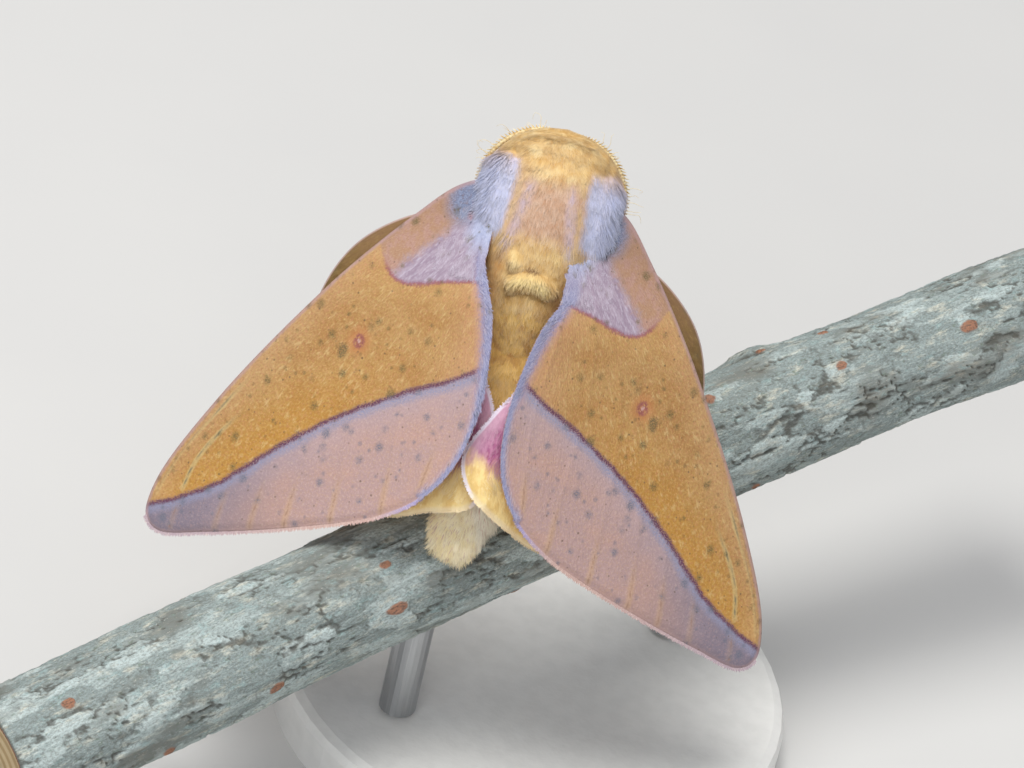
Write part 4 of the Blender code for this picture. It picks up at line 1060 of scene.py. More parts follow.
def wing_flat(outline, u, v):
    """Flat wing points at a share u from root to outer edge and v from costa to inner edge."""
    edges = outline_edges(outline)
    corner = {part: np.array(outline[part][0], float) for part in outline}
    front, back = along_edge(edges["costa"], u), along_edge(edges["inner"][::-1], u)
    root, rim = along_edge(edges["root"][::-1], v), along_edge(edges["outer"], v)
    u, v = u[:, None], v[:, None]
    sides = (1 - v) * front + v * back + (1 - u) * root + u * rim
    corners = (1 - u) * (1 - v) * corner["costa"] + u * (1 - v) * corner["outer"]
    return sides - corners - (1 - u) * v * corner["root"] - u * v * corner["inner"]


def far_from(flat, line):
    """Each flat point's distance from a line, which counts below zero on the line's left."""
    line = np.array(smooth_path([(*point, 0) for point in line], 90))[:, :2]
    start, run = line[:-1], np.diff(line, axis=0)
    reach = flat[:, None] - start
    share = np.clip((reach * run).sum(-1) / (run**2).sum(-1), 0, 1)
    miss = reach - share[..., None] * run
    far = np.linalg.norm(miss, axis=-1)
    nearest = far.argmin(axis=1)
    rows = np.arange(len(flat))
    run, miss = run[nearest], miss[rows, nearest]
    turned = run[:, 0] * miss[:, 1] - run[:, 1] * miss[:, 0]
    return far[rows, nearest] * np.where(turned > 0, -1, 1)


def outline_rims(outline):
    """The free edges of a wing as lines of few points."""
    edges = outline_edges(outline)
    rims = [edges[part] for part in ("costa", "outer", "inner")]
    return [[tuple(point) for point in (*rim[:: max(1, len(rim) // RIM_POINTS)], rim[-1])] for rim in rims]


def add_marks(data, flat, face, outline, veins, each=1):
    """Keeps what the finishes read with each point: its flat place, and its distances from lines and rims."""
    vein = np.min([np.abs(far_from(flat, line)) for line in veins], axis=0)
    lines = np.column_stack([far_from(flat, OUTER_LINE), far_from(flat, INNER_LINE), vein])
    rims = np.column_stack([np.abs(far_from(flat, edge)) for edge in outline_rims(outline)])
    for name, values in (("flat", np.column_stack([flat, face])), ("lines", lines), ("rims", rims)):
        add_values(data, name, np.repeat(values, each, axis=0))
    return rims, vein


def wing_mesh(name, outline, side, hind, columns, rows, veins):
    """A thin closed wing: two grids, above and below, joined round the rim, with the veins raised on both."""
    mesh = bmesh.new()
    for height in (-1, 1):
        level = Matrix.Translation((0.5, 0.5, height))
        bmesh.ops.create_grid(mesh, x_segments=columns, y_segments=rows, size=0.5, matrix=level)
    rims = [edge for edge in mesh.edges if edge.is_boundary]
    bmesh.ops.bridge_loops(mesh, edges=rims)
    data = bpy.data.meshes.new(name)
    mesh.to_mesh(data)
    mesh.free()
    shares = points_of(data)
    u, v, face = shares.T
    flat = wing_flat(outline, np.clip(u, 0, 1), np.clip(v, 0, 1))
    out, place = flat.T
    rims, vein = add_marks(data, flat, face, outline, veins)
    edge = rims.min(axis=1)
    within = step(0.0, EDGE_REACH, edge)
    ridge = VEIN_HEIGHT * np.exp(-((vein / VEIN_WIDTH) ** 2)) * within
    pleat = np.array([noise.noise(Vector((a / 2.2, b / 3.2, 3.0 if hind else 8.0))) for a, b in flat])
    pleat += 0.4 * np.array([noise.noise(Vector((a / 0.9, b / 1.4, 5.0))) for a, b in flat])
    thick = np.where(face > 0, SKIN_ABOVE, SKIN_BELOW) * (1 - EDGE_THINNING + EDGE_THINNING * within)
    thick = thick + face * ridge + PLEAT_DEPTH * pleat * step(0.0, 2 * EDGE_REACH, edge)
    points = wing_point(out, place, side, hind) + thick[:, None] * wing_normal(out, place, side, hind)
    data.vertices.foreach_set("co", points.astype(np.float32).ravel())
    turned = bmesh.new()
    turned.from_mesh(data)
    bmesh.ops.recalc_face_normals(turned, faces=turned.faces)
    turned.to_mesh(data)
    turned.free()
    return data


def fore_outline(side):
    if side > 0:
        return {**FORE_OUTLINE, "costa": RIGHT_FORE_COSTA, "inner": RIGHT_FORE_INNER}
    return {**FORE_OUTLINE, "costa": LEFT_FORE_COSTA, "inner": LEFT_FORE_INNER}


def hind_outline(side):
    if side > 0:
        return {**HIND_OUTLINE, "costa": RIGHT_HIND_COSTA}
    return {**HIND_OUTLINE, "inner": LEFT_HIND_INNER}


def specks(paint, flat, size, spread, seed, shy):
    """Fuzzy dark flecks, one to a cell, of uneven size, with some cells left bare."""
    shifted = flat.stretched(1.0, 1.0, 0.0).moved(flat.noise(4.5, 3.0, 0.7, output="Color"), 1.3 * size)
    shifted = paint.node("VectorMath", {"operation": "ADD"}, {0: shifted, 1: (seed, seed * 1.7, 0.0)})
    cells = {"Vector": shifted, "Scale": 1.0 / spread, "Randomness": 1.0}
    far = paint.node("TexVoronoi", None, cells) * (spread / size)
    chance = paint.node("TexVoronoi", None, cells, "Color").parts()[0]
    return (far - 0.9 * chance).rise(0.7, -0.5) * (chance > shy)


def ray_noise(paint, out, place, across, along, detail=3.0):
    """Streaks that fan out from the wing's root, as the rows of its scales do."""
    wide, long = out + 1.5, 7.0 - place
    turn = wide.maths("ARCTAN2", long)
    reach = (wide * wide + long * long).maths("SQRT")
    fan = paint.node("CombineXYZ", None, {0: turn * 14.0 * across, 1: reach * along, 2: 0.0})
    return fan.noise(1.0, detail, 0.65)


EYE_SPOT = (9.45, -7.7)
SMUDGE = (10.5, -8.45)
ROOT_PATCH = (4.3, 2.4)
ROSY_MARK = (3.45, 1.8)
WING_GLOSS = {"Specular_IOR_Level": 0.2, "Sheen_Weight": 0.08, "Sheen_Roughness": 0.4}
scaled_forewing, paint = finish("scaled_forewing", **WING_GLOSS)
flat = paint.kept("flat")
out, place, face = flat.parts()
outer, inner, vein = paint.kept("lines").parts()
costa, rim, fold = paint.kept("rims").parts()
share, chance = paint.kept("strand").parts()[:2]
streak = ray_noise(paint, out, place, 2.2, 0.9)
grain = ray_noise(paint, out, place, 12.0, 5.0, 2.0)
thread = ray_noise(paint, out, place, 6.0, 1.3, 2.0)
cloud = flat.noise(0.35, 3.0)
mottle = flat.noise(1.3, 4.0, 0.7)
ragged = flat.noise(5.0, 3.0, 0.7)
dust = flat.noise(11.0, 2.0, 0.7)
wander = (flat.noise(0.9, 3.0) - 0.5) * 0.35 + (grain - 0.5) * 0.4
outer, inner, fold = outer + wander, inner + wander, fold + wander

ochre = paint.layers(
    paint.mix(tone(166, 123, 74), tone(177, 139, 90), (0.6 * cloud + 0.4 * mottle).rise(0.4, 0.6)),
    (196, 148, 120, (fold - 0.2 * outer).rise(4.5, 0.8) * 0.5),
    (184, 134, 50, outer.rise(-5.0, -0.3) * out.rise(3.0, 14.0) * 0.7),
    (186, 148, 108, costa.rise(2.6, 0.4) * 0.6),
    (186, 156, 92, ragged.rise(0.5, 0.64) * 0.4),
    (196, 138, 104, flat.noise(6.5, 3.0, 0.7).rise(0.5, 0.64) * 0.35),
    (154, 106, 60, grain.rise(0.5, 0.3) * 0.45),
    (208, 168, 110, grain.rise(0.5, 0.7) * 0.4),
    (214, 186, 132, thread.rise(0.5, 0.7) * mottle.rise(0.42, 0.62) * 0.5),
)

greyed = (out + 2.5 * (mottle - 0.5)).rise(10.0, 20.0)
beside_vein = vein.rise(0.4, 0.05) * rim.rise(3.6, 1.2)
rose = paint.layers(
    paint.mix(tone(182, 147, 136), tone(174, 145, 141), cloud.rise(0.4, 0.6)),
    (186, 152, 118, ragged.rise(0.48, 0.64) * 0.35),
    (196, 158, 158, dust.rise(0.48, 0.64) * 0.3),
    (166, 156, 172, outer.rise(2.8, 0.5) * 0.35),
    (118, 112, 128, greyed * (0.6 + 0.5 * ragged)),
    (168, 142, 140, grain.rise(0.5, 0.3) * 0.45),
    (204, 180, 170, grain.rise(0.5, 0.7) * 0.35 * (1 - 0.5 * greyed)),
    (196, 160, 118, beside_vein * 0.4 * (1 - 0.6 * greyed)),
    (140, 106, 88, vein.rise(0.11, 0.03) * rim.rise(3.4, 1.6) * mottle.rise(0.38, 0.52) * 0.5),
)

tanned = (out + place + 2.2 * (mottle - 0.5) + 0.8 * (ragged - 0.5)).rise(4.3, 5.9)
tan = paint.layers(
    paint.mix(tone(168, 132, 106), tone(172, 136, 122), mottle.rise(0.42, 0.6)),
    (152, 108, 84, grain.rise(0.5, 0.3) * 0.5),
    (190, 158, 132, grain.rise(0.5, 0.7) * 0.5),
)
near = (out + 1.2 * (ragged - 0.5) - 0.16 * place).rise(3.9, 2.7) * place.rise(-1.6, 0.4)
cape_tone = paint.mix(tone(180, 184, 208), tone(162, 168, 196), ragged.rise(0.35, 0.6))
blurred = (mottle - 0.5) * 1.0 + (ragged - 0.5) * 0.9
patch_out, patch_place = (out + blurred - ROOT_PATCH[0]) * 0.74, (place + blurred - ROOT_PATCH[1]) * 0.56
blue_far = (patch_out * patch_out + patch_place * patch_place).maths("SQRT")
patch = paint.mix(tone(104, 112, 138), tone(142, 150, 176), (0.5 * dust + 0.5 * ragged).rise(0.4, 0.6))
mark = (out + wander - ROSY_MARK[0]).hump(0.0, 0.38) * (place + wander - ROSY_MARK[1]).hump(0.0, 0.6)
base = paint.layers(
    paint.mix(tone(150, 132, 148), tone(168, 152, 166), streak.rise(0.4, 0.62)),
    (192, 182, 196, thread.rise(0.48, 0.68) * 0.55),
    (tan, tanned),
    (cape_tone, near),
    (patch, blue_far.rise(1.35, 0.35) * (0.6 + 0.4 * ragged.rise(0.3, 0.5))),
    (196, 138, 140, mark * ragged.rise(0.3, 0.5) * 0.7),
)

red_line = inner.hump(0.0, 0.24) * costa.rise(0.8, 2.4) * (0.4 + 0.6 * ragged.rise(0.35, 0.5))
aside, along = out + 0.7 * wander - EYE_SPOT[0], place + wander - EYE_SPOT[1]
spot_far = (aside * aside + along * along).maths("SQRT")
smudge = (out + wander - SMUDGE[0]).hump(0.0, 0.6) * (place + wander - SMUDGE[1]).hump(0.0, 0.8)
haze = outer.hump(0.3, 0.6) * (dust.rise(0.35, 0.6) + 0.35)
narrow = fold * (1 + 0.9 * place.rise(-6.0, -12.0))
# The fold band: blue-grey scales of its own along the inner margin, and painted shade where the margin turns
# down.
fold_band_and_shade = (narrow + 0.5 * (ragged - 0.5)).rise(0.85, 0.3) * place.rise(1.0, -3.0)
blue_band_and_shade = paint.mix(tone(114, 120, 158), tone(146, 150, 182), dust.rise(0.4, 0.6))
near_tip = outer.rise(-0.2, -0.8) * costa.rise(0.4, 0.9)
streaked = vein.rise(0.12, 0.03) * out.rise(16.6, 18.6) * near_tip
pale_streak = vein.rise(0.26, 0.1) * out.rise(16.4, 18.4) * near_tip
fleck_tone = paint.mix(tone(100, 90, 58), tone(104, 108, 122), outer.rise(-0.2, 0.2))
scatter = 0.4 + 0.6 * dust.rise(0.42, 0.56)
fleck = specks(paint, flat, 0.32, 1.35, 3.0, 0.25)
fine_fleck = specks(paint, flat, 0.15, 0.75, 11.0, 0.4)
dots = specks(paint, flat, 0.07, 0.5, 23.0, 0.5)
colour = paint.layers(
    ochre,
    (base, inner.rise(0.12, -0.12)),
    (138, 76, 90, red_line * 0.75),
    (184, 120, 76, spot_far.rise(1.2, 0.45) * ragged.rise(0.2, 0.5) * 0.6),
    (132, 72, 84, spot_far.hump(0.26, 0.3) * ragged.rise(0.3, 0.55) * 0.8),
    (204, 172, 176, spot_far.rise(0.18, 0.04) * 0.6),
    (96, 88, 62, smudge.rise(0.05, 0.7) * (0.25 + 0.75 * dust.rise(0.4, 0.55)) * 0.85),
    (rose, outer.rise(-0.08, 0.14)),
    (142, 142, 166, haze * 0.75),
    (98, 60, 82, outer.hump(0.0, 0.3) * (0.35 + 0.75 * dust.rise(0.35, 0.55))),
    (172, 144, 156, narrow.rise(1.3, 0.4) * (1 - inner.rise(0.4, -0.4)) * 0.6),
    (blue_band_and_shade, fold_band_and_shade * 0.9),
    (180, 148, 148, (costa + 0.6 * wander).rise(0.42, 0.1) * 0.65),
    (190, 156, 150, rim.rise(0.3, 0.05) * 0.4),
    (200, 184, 132, pale_streak * 0.45),
    (112, 110, 90, streaked * mottle.rise(0.3, 0.5) * 0.8),
    (fleck_tone, fleck * scatter * 0.9),
    (fleck_tone, fine_fleck * scatter * 0.7),
    (92, 80, 62, dots * 0.7),
)
under = paint.layers(
    paint.mix(tone(216, 176, 120), tone(204, 164, 152), outer.rise(-0.3, 0.5)),
    (214, 172, 168, fold.rise(5.0, 1.0) * 0.7),
    (120, 76, 88, outer.hump(0.0, 0.25) * 0.6),
    (110, 94, 74, fleck * 0.7),
)
colour = paint.layers(
    under,
    (colour, face.rise(-0.2, 0.2)),
    (226, 222, 232, share.rise(0.4, 1.0) * 0.2),
    (210, 206, 218, (chance > 0.75) * 0.25),
)
dress(
    scaled_forewing,
    Base_Color=colour,
    Roughness=0.55 + 0.2 * grain,
    Normal=paint.bump(0.6 * grain + 0.8 * thread, 0.00008, 0.8),
)

scaled_hindwing, paint = finish("scaled_hindwing", **WING_GLOSS)
flat = paint.kept("flat")
out, place, face = flat.parts()
costa, rim, fold = paint.kept("rims").parts()
share = paint.kept("strand").parts()[0]
streak = ray_noise(paint, out, place, 2.2, 0.6)
weave = ray_noise(paint, out, place, 6.0, 1.8)
scale = ray_noise(paint, out, place, 11.0, 4.0, 2.0)
wander = (flat.noise(1.6, 3.0) - 0.5) * 1.2 + (streak - 0.5) * 2.0
magenta = paint.layers(
    paint.mix(tone(158, 86, 126), tone(184, 124, 154), weave.rise(0.4, 0.6)),
    (206, 168, 186, (fold + 0.5 * wander).rise(1.4, 0.2) * 0.7),
    (196, 148, 176, place.rise(-10.8, -8.6) * 0.5),
)
yellow = paint.layers(
    paint.mix(tone(240, 212, 146), tone(224, 188, 118), streak.rise(0.4, 0.6)),
    (246, 228, 178, weave.rise(0.55, 0.7) * 0.6),
)
# The lobe by the hindwing's costa: mottled olive-brown of its own, painted darker as the shade it lies in
# under the forewing.
lobe = paint.layers(
    paint.mix(tone(120, 94, 54), tone(104, 80, 44), streak.rise(0.4, 0.6)),
    (142, 108, 78, (place + 2.0 * wander).rise(-4.0, 0.0) * 0.6),
    (148, 122, 76, weave.rise(0.52, 0.68) * 0.5),
    (96, 90, 64, specks(paint, flat, 0.34, 1.3, 5.0, 0.3) * 0.6),
)
colour = paint.layers(
    magenta,
    (yellow, (place + wander + 0.25 * out).rise(-12.8, -14.6)),
    (lobe, (costa + 0.3 * wander).rise(4.4, 2.8) * place.rise(-13.0, -10.0)),
    (206, 178, 170, costa.rise(0.18, 0.05) * 0.75),
    (228, 222, 236, fold.rise(0.2, 0.06) * 0.85),
    (238, 220, 186, rim.rise(0.4, 0.1) * 0.6),
)
under = paint.layers(
    paint.mix(tone(220, 184, 124), tone(208, 166, 104), streak.rise(0.4, 0.6)),
    (214, 162, 162, fold.rise(5.0, 1.0) * 0.6),
    (112, 98, 76, specks(paint, flat, 0.24, 1.5, 2.0, 0.4) * 0.6),
)
colour = paint.layers(
    under,
    (colour, face.rise(-0.2, 0.2)),
    (244, 234, 232, share.rise(0.4, 1.0) * 0.25),
)
dress(
    scaled_hindwing,
    Base_Color=colour,
    Roughness=0.52 + 0.22 * weave,
    Normal=paint.bump(weave + 0.6 * scale, 0.00008, 0.8),
)

for name, side in SIDES:
    data = wing_mesh(f"hindwing_scales_{name}", hind_outline(side), side, True, 110, 90, HIND_VEINS)
    place_mesh(data)
    show_piece(data.name, data, scaled_hindwing, [f"hindwing_{name}"])
    data = wing_mesh(f"forewing_scales_{name}", fore_outline(side), side, False, 160, 110, FORE_VEINS)
    place_mesh(data)
    show_piece(data.name, data, scaled_forewing, [f"forewing_{name}"])

# Feelers
# Each is a tapering stalk of beads laid along the edge of the collar, with four rows of fine barbs.
# The barbs curl towards the tip, some stand free as curled wisps, and cream scales dust the stalk.

FEELER_PATH = (
    (0.8, 7.85, 0.1), (2.0, 7.65, -0.1), (3.2, 7.0, -0.4), (4.15, 5.9, -0.9), (4.65, 4.5, -1.5),
    (4.65, 3.1, -2.3),
)
FEELER_RADIUS = 0.19
FEELER_BEADS = 34
BEAD_STEPS = 4
BARB_LENGTH = 0.65
BARB_ROWS = ((0.8, 0.3, 0.34), (0.7, -0.3, 0.6), (0.3, -0.9, 1.0), (-0.1, -0.95, 1.0))
WISPS = 9
WISP_RADII = (0.022, 0.02, 0.018, 0.016, 0.014, 0.012, 0.01, 0.008)
FEELER_FACING = np.array((0.0, 0.4, 1.0))

cream_feeler, paint = finish("cream_feeler", Specular_IOR_Level=0.3, Roughness=0.6)
share = paint.kept("strand").parts()[0]
colour = paint.layers(
    paint.mix(tone(226, 206, 158), tone(196, 160, 100), paint.kept("root").noise(3.0).rise(0.4, 0.65)),
    # Darker barb roots: painted shade where the barbs crowd the stalk.
    (124, 92, 54, share.rise(0.3, 0.0) * 0.5),
    (240, 230, 200, share.rise(0.5, 1.0) * 0.6),
)
dress(cream_feeler, Base_Color=colour)

for name, side in SIDES:
    draw = np.random.default_rng(30 + side)
    line = mirrored(smooth_path(FEELER_PATH, BEAD_STEPS * FEELER_BEADS + 1), side)
    radii = []
    for i in range(len(line)):
        slim = 1 - 0.45 * i / (len(line) - 1)
        bead = 0.7 + 0.3 * math.sin(math.pi * ((i % BEAD_STEPS) + 0.01) / BEAD_STEPS)
        radii.append((FEELER_RADIUS * slim * bead, FEELER_RADIUS * slim * bead))
    radii[-1] = (0.04, 0.04)
    stalk = bmesh.new()
    add_loft(stalk, tube_rings(line, radii, STRAIGHT_UP), 12)
    data = as_data(stalk, f"feeler_stalk_{name}")
    add_one_strand(data, 0.6, 0.5, 0.5)
    place_mesh(data)
    show_piece(data.name, data, cream_feeler, [f"antenna_{name}"])
    barbs = []
    for bead in range(1, FEELER_BEADS):
        i = BEAD_STEPS * bead
        tipward = (line[i + 1] - line[i - 1]).normalized()
        outward = Vector((0, 0, side)).cross(tipward).normalized()
        grown = BARB_LENGTH * (0.3 + 0.7 * math.sin(math.pi * min(1, 0.12 + bead / FEELER_BEADS)))
        for row, (out, rise, share) in enumerate(BARB_ROWS):
            away = (out * outward + rise * STRAIGHT_UP).normalized()
            normal = tipward.cross(away) + 0.2 * tipward
            length = share * grown * draw.uniform(0.8, 1.15)
            spread = (0.1 + 0.2 * row, 0.02 + 0.96 * bead / FEELER_BEADS)
            size = (length, 0.075, 0.25)
            barbs.append((line[i] + 0.12 * away, normal, away + 0.55 * tipward, size, spread))
    places, normals, lies, size, spread = (np.array([tuple(row) for row in rows]) for rows in zip(*barbs))
    along = unit(lies)
    normals = unit(normals - (normals * along).sum(1)[:, None] * along)
    normals *= np.where(normals @ FEELER_FACING < 0, -1, 1)[:, None]
    grow(
        f"feeler_barbs_{name}", places, normals, lies, size.T, spread, draw,
        cream_feeler, LONG_TUFT, 0.22,
    )
    wisps = bmesh.new()
    for i in draw.integers(6, len(line) - 8, WISPS):
        tipward = (line[i + 1] - line[i - 1]).normalized()
        outward = Vector((0, 0, side)).cross(tipward).normalized() + draw.uniform(0, 0.5) * STRAIGHT_UP
        hook = float(draw.choice((-1, 1)) * draw.uniform(0.2, 0.9)) * tipward
        reach = draw.uniform(0.4, 1.2)
        turns = np.cumsum(draw.uniform(-0.1, 0.7, 3))
        bends = [(0, 0), (0.5, 0.05), *zip((0.85, 1.0, draw.uniform(0.6, 1.2)), turns)]
        spots = [line[i] + reach * (float(out) * outward + float(turn) * hook) for out, turn in bends]
        radii = [(radius, radius) for radius in WISP_RADII]
        add_loft(wisps, tube_rings(smooth_path(spots, len(radii)), radii, STRAIGHT_UP), 5)
    data = as_data(wisps, f"feeler_wisps_{name}")
    add_one_strand(data, 0.9, 0.5, 0.5)
    place_mesh(data)
    show_piece(data.name, data, cream_feeler)

# Eyes
# Dark domes of many small lenses, at each side of the head under the feelers.
# Each is one glossy shell that grows fixed in the head, with the fur standing close round it.

dark_eye, paint = finish("dark_eye", Coat_Weight=0.6, Coat_Roughness=0.12, Specular_IOR_Level=0.6)
spot = paint.node("TexCoord", output="Object")
lens = paint.node("TexVoronoi", {"feature": "F1"}, {"Vector": spot, "Scale": 16000.0, "Randomness": 0.25})
sheen = spot.noise(900.0)
dress(
    dark_eye,
    Base_Color=paint.mix(tone(38, 26, 20), tone(84, 56, 36), sheen.rise(0.4, 0.7)),
    Roughness=0.2 + 0.15 * sheen,
    Normal=paint.bump(lens * -1.0, 0.00002, 0.7),
)
for name, side in SIDES:
    dome = bmesh.new()
    centre = Matrix.Translation(mirrored([EYE_PLACE], side)[0])
    bmesh.ops.create_icosphere(dome, subdivisions=5, radius=EYE_RADIUS - 0.02, matrix=centre)
    data = as_data(dome, f"lens_dome_{name}")
    place_mesh(data)
    show_piece(data.name, data, dark_eye, [f"eye_{name}"])

# Legs
# Hard jointed tubes: a stout thigh, a slimmer shin, and five foot beads with two claws. Scales lie over
# them, and short fur over thigh and shin. Five grip the bark, and one is tucked under the head.

LEG_PLAN = {
    "foreleg_right": (Vector((1.5, 3.6, -3.0)), 6.3, -30, 5.6, 5.2, (0.9, 0.5, -0.2)),
    "midleg_right": (Vector((1.8, 0.9, -3.4)), 3.2, -35, 4.9, 5.0, (0.9, 0.3, -0.2)),
    "hindleg_right": (Vector((1.6, -1.9, -3.1)), 0.0, -20, 4.4, 4.8, (0.9, 0.2, -0.3)),
    "midleg_left": (Vector((-1.8, 0.9, -3.4)), -2.6, -38, 5.4, 5.6, (-0.9, 0.6, -0.1)),
    "hindleg_left": (Vector((-1.6, -1.9, -3.1)), -6.6, -26, 5.0, 5.4, (-0.9, -0.3, -0.3)),
}
TUCKED_FORELEG = (
    (-1.3, 2.9, -3.1), (-2.0, 3.5, -5.2), (-2.6, 4.0, -6.9), (-1.9, 2.9, -7.4), (-1.1, 1.0, -7.5),
    (-0.7, -0.8, -7.3), (-0.5, -2.6, -7.5),
)
FOOT_CLEARANCE = 0.6
LEG_POINTS = 20
LEG_STEPS = 91
LEG_TUFTS = 900
KNEE_SHARE = 0.31
ANKLE_SHARE = 0.62
FOOT_BEADS = 5
LEG_UP = Vector((0.3, 1, 0.2)).normalized()


def in_body(point):
    """A point of the stand and twig, carried to the moth's own frame."""
    return POSE.inverted() @ (MILLIMETRE * point)


def leg_path(name):
    """The middle line of a leg, hip to toe, in the moth's frame."""
    if name not in LEG_PLAN:
        return smooth_path(TUCKED_FORELEG, 18)
    hip, place, turn, femur, shin, bend = LEG_PLAN[name]
    turn = math.radians(turn)
    ankle = in_body(twig_point(place, turn + 0.12, FOOT_CLEARANCE + 1.0))
    reach = ankle - hip
    span = min(reach.length, 0.985 * (femur + shin))
    along = (femur**2 - shin**2 + span**2) / (2 * span)
    rise = math.sqrt(max(femur**2 - along**2, 0))
    outward = Vector(bend) - Vector(bend).dot(reach.normalized()) * reach.normalized()
    knee = hip + reach * along / reach.length + rise * outward.normalized()
    spread = math.copysign(0.55, hip.x)
    toes = [in_body(twig_point(place + k * spread, turn - 0.26 * k, FOOT_CLEARANCE)) for k in range(4)]
    return smooth_path([hip, hip.lerp(knee, 0.5), knee, knee.lerp(ankle, 0.55), ankle, *toes], LEG_POINTS)


def leg_radius(share):
    """The leg's radius at a share of its length, with pinched joints and five beads to the foot."""
    knee = math.exp(-(((share - KNEE_SHARE) / 0.02) ** 2))
    ankle = math.exp(-(((share - ANKLE_SHARE) / 0.02) ** 2))
    if share < KNEE_SHARE:
        radius = 0.50 * (1 - 0.25 * share / KNEE_SHARE) + 0.05 * math.sin(math.pi * share / KNEE_SHARE)
    elif share < ANKLE_SHARE:
        radius = 0.32 + 0.08 * math.sin(math.pi * (share - KNEE_SHARE) / (ANKLE_SHARE - KNEE_SHARE))
    else:
        bead = ((share - ANKLE_SHARE) / (1 - ANKLE_SHARE) * FOOT_BEADS) % 1.0
        radius = 0.20 + 0.07 * math.sin(math.pi * min(bead, 0.98) ** 0.7)
    return radius * (1 - 0.22 * knee) * (1 - 0.15 * ankle)


scaled_leg, paint = finish("scaled_leg", Specular_IOR_Level=0.35)
root = paint.kept("root")
share, chance = paint.kept("strand").parts()[:2]
colour = paint.layers(
    paint.mix(tone(186, 112, 108), tone(214, 158, 118), root.noise(1.1).rise(0.4, 0.6)),
    (226, 190, 160, root.noise(9.0, 3.0).rise(0.5, 0.75) * 0.6),
    # Darker tuft roots: painted shade among the hairs.
    (112, 70, 60, share.rise(0.35, 0.0) * 0.5),
    (236, 204, 176, chance.rise(0.6, 1.0) * 0.5),
)
dress(
    scaled_leg,
    Base_Color=colour,
    Roughness=0.55 + 0.2 * root.noise(14.0),
    Normal=paint.bump(root.noise(20.0, 2.0), 0.00004, 0.7),
)

claw_horn = finish("claw_horn", Roughness=0.25, Base_Color=tone(70, 38, 28))[0]

for node in ("foreleg_left", "foreleg_right", "midleg_left", "midleg_right", "hindleg_left", "hindleg_right"):
    coarse = leg_path(node)
    line = smooth_path(coarse, LEG_STEPS)
    radii = [(leg_radius(i / (LEG_STEPS - 1)),) * 2 for i in range(LEG_STEPS)]
    radii[-1] = (0.1, 0.1)
    limb = bmesh.new()
    add_loft(limb, tube_rings(line, radii, LEG_UP), 14)
    data = as_data(limb, f"scaled_{node}")
    add_one_strand(data, 0.5, 0.4, 0.5)
    ground = Ground(data)
    place_mesh(data)
    show_piece(data.name, data, scaled_leg, [node])
    draw = np.random.default_rng(len(node) + ord(node[0]))
    middle = np.array([tuple(point) for point in line])

    def furred(points):
        """Full fur over thigh and shin, and a quarter of it on the foot."""
        nearest = np.argmin(np.linalg.norm(points[:, None] - middle, axis=2), axis=1) / (LEG_STEPS - 1)
        return step(0.72, 0.56, nearest) + 0.25

    places, normals = ground.roots(LEG_TUFTS, furred, draw)
    nearest = np.clip(np.argmin(np.linalg.norm(places[:, None] - middle, axis=2), axis=1), 1, LEG_STEPS - 2)
    lies = unit(middle[nearest + 1] - middle[nearest - 1]) + 0.3 * ruffle(places, 1.2, 3)
    share = nearest / (LEG_STEPS - 1)
    lengths = np.where(share < 0.6, 0.62, 0.24) * draw.uniform(0.7, 1.2, len(places))
    unwrapped = np.column_stack([0.02 + 0.96 * share, 0.5 + 0.4 * normals[:, 0]])
    grow(f"fur_{node}", places, normals, lies, (lengths, 0.085, 0.35), unwrapped, draw, scaled_leg)
    toe, heel = line[-1], line[-4]
    tipward = (toe - heel).normalized()
    across = tipward.cross(LEG_UP).normalized()
    claws = bmesh.new()
    for side in (-1, 1):
        hook = [toe, toe + 0.16 * tipward + 0.1 * side * across, toe + 0.3 * tipward + 0.12 * side * across]
        hook = smooth_path(hook, 7)
        add_loft(claws, tube_rings(hook, [(0.05 * (1 - 0.8 * i / 6),) * 2 for i in range(7)], LEG_UP), 8)
    data = as_data(claws, f"claws_{node}")
    place_mesh(data)
    show_piece(data.name, data, claw_horn)

# Fringes and wing hair
# Short scales stand along the outer rims as a ragged fringe, and bluish hairs edge the folds of the
# forewings. Hairs from the capes fan over the wing roots, and rosy ones lie along the folds of the hindwings.

FRINGE_COUNTS = {"forewing": (("outer", 3400),), "hindwing": (("outer", 1800), ("inner", 1500))}
FOLD_HAIRS = 3600
SHOULDER_HAIRS = 5000
SHOULDER_OUT = 1.9
ROSY_HAIRS = 1100
WING_MIDDLE = np.array([6.0, -9.0])


def wing_coat(name, flat, lies_flat, size, side, hind, colour, draw, level=SKIN_ABOVE):
    """Tufts laid on a wing, from flat places and flat directions, which carry the wing's own markings."""
    out, place = flat.T
    normals = wing_normal(out, place, side, hind)
    places = wing_point(out, place, side, hind) + level * normals
    ahead = wing_point(out + 0.1 * lies_flat[:, 0], place + 0.1 * lies_flat[:, 1], side, hind)
    lies = unit(ahead - wing_point(out, place, side, hind))
    unwrapped = 0.02 + np.column_stack([0.04 * np.clip(out + 2.5, 0, 24), 0.037 * np.clip(place + 22, 0, 26)])
    made = grow(name, places, normals, lies, size, unwrapped, draw, colour)
    outline, veins = (hind_outline(side), HIND_VEINS) if hind else (fore_outline(side), FORE_VEINS)
    add_marks(made.data, flat, np.ones(len(out)), outline, veins, len(made.data.vertices) // len(out))


def rim_walk(outline, part, count, draw, inset):
    """Scattered places along one edge of a wing, with the flat direction that points out of it."""
    edge = outline_edges(outline)[part]
    share = (np.arange(count) + draw.random(count)) / count
    spots = along_edge(edge, share)
    ahead = along_edge(edge, np.clip(share + 0.01, 0, 1)) - along_edge(edge, np.clip(share - 0.01, 0, 1))
    outward = unit(np.stack([ahead[:, 1], -ahead[:, 0]], axis=-1))
    outward *= np.sign((outward * (spots - WING_MIDDLE)).sum(axis=1))[:, None]
    return spots - inset[:, None] * outward, outward, unit(ahead)


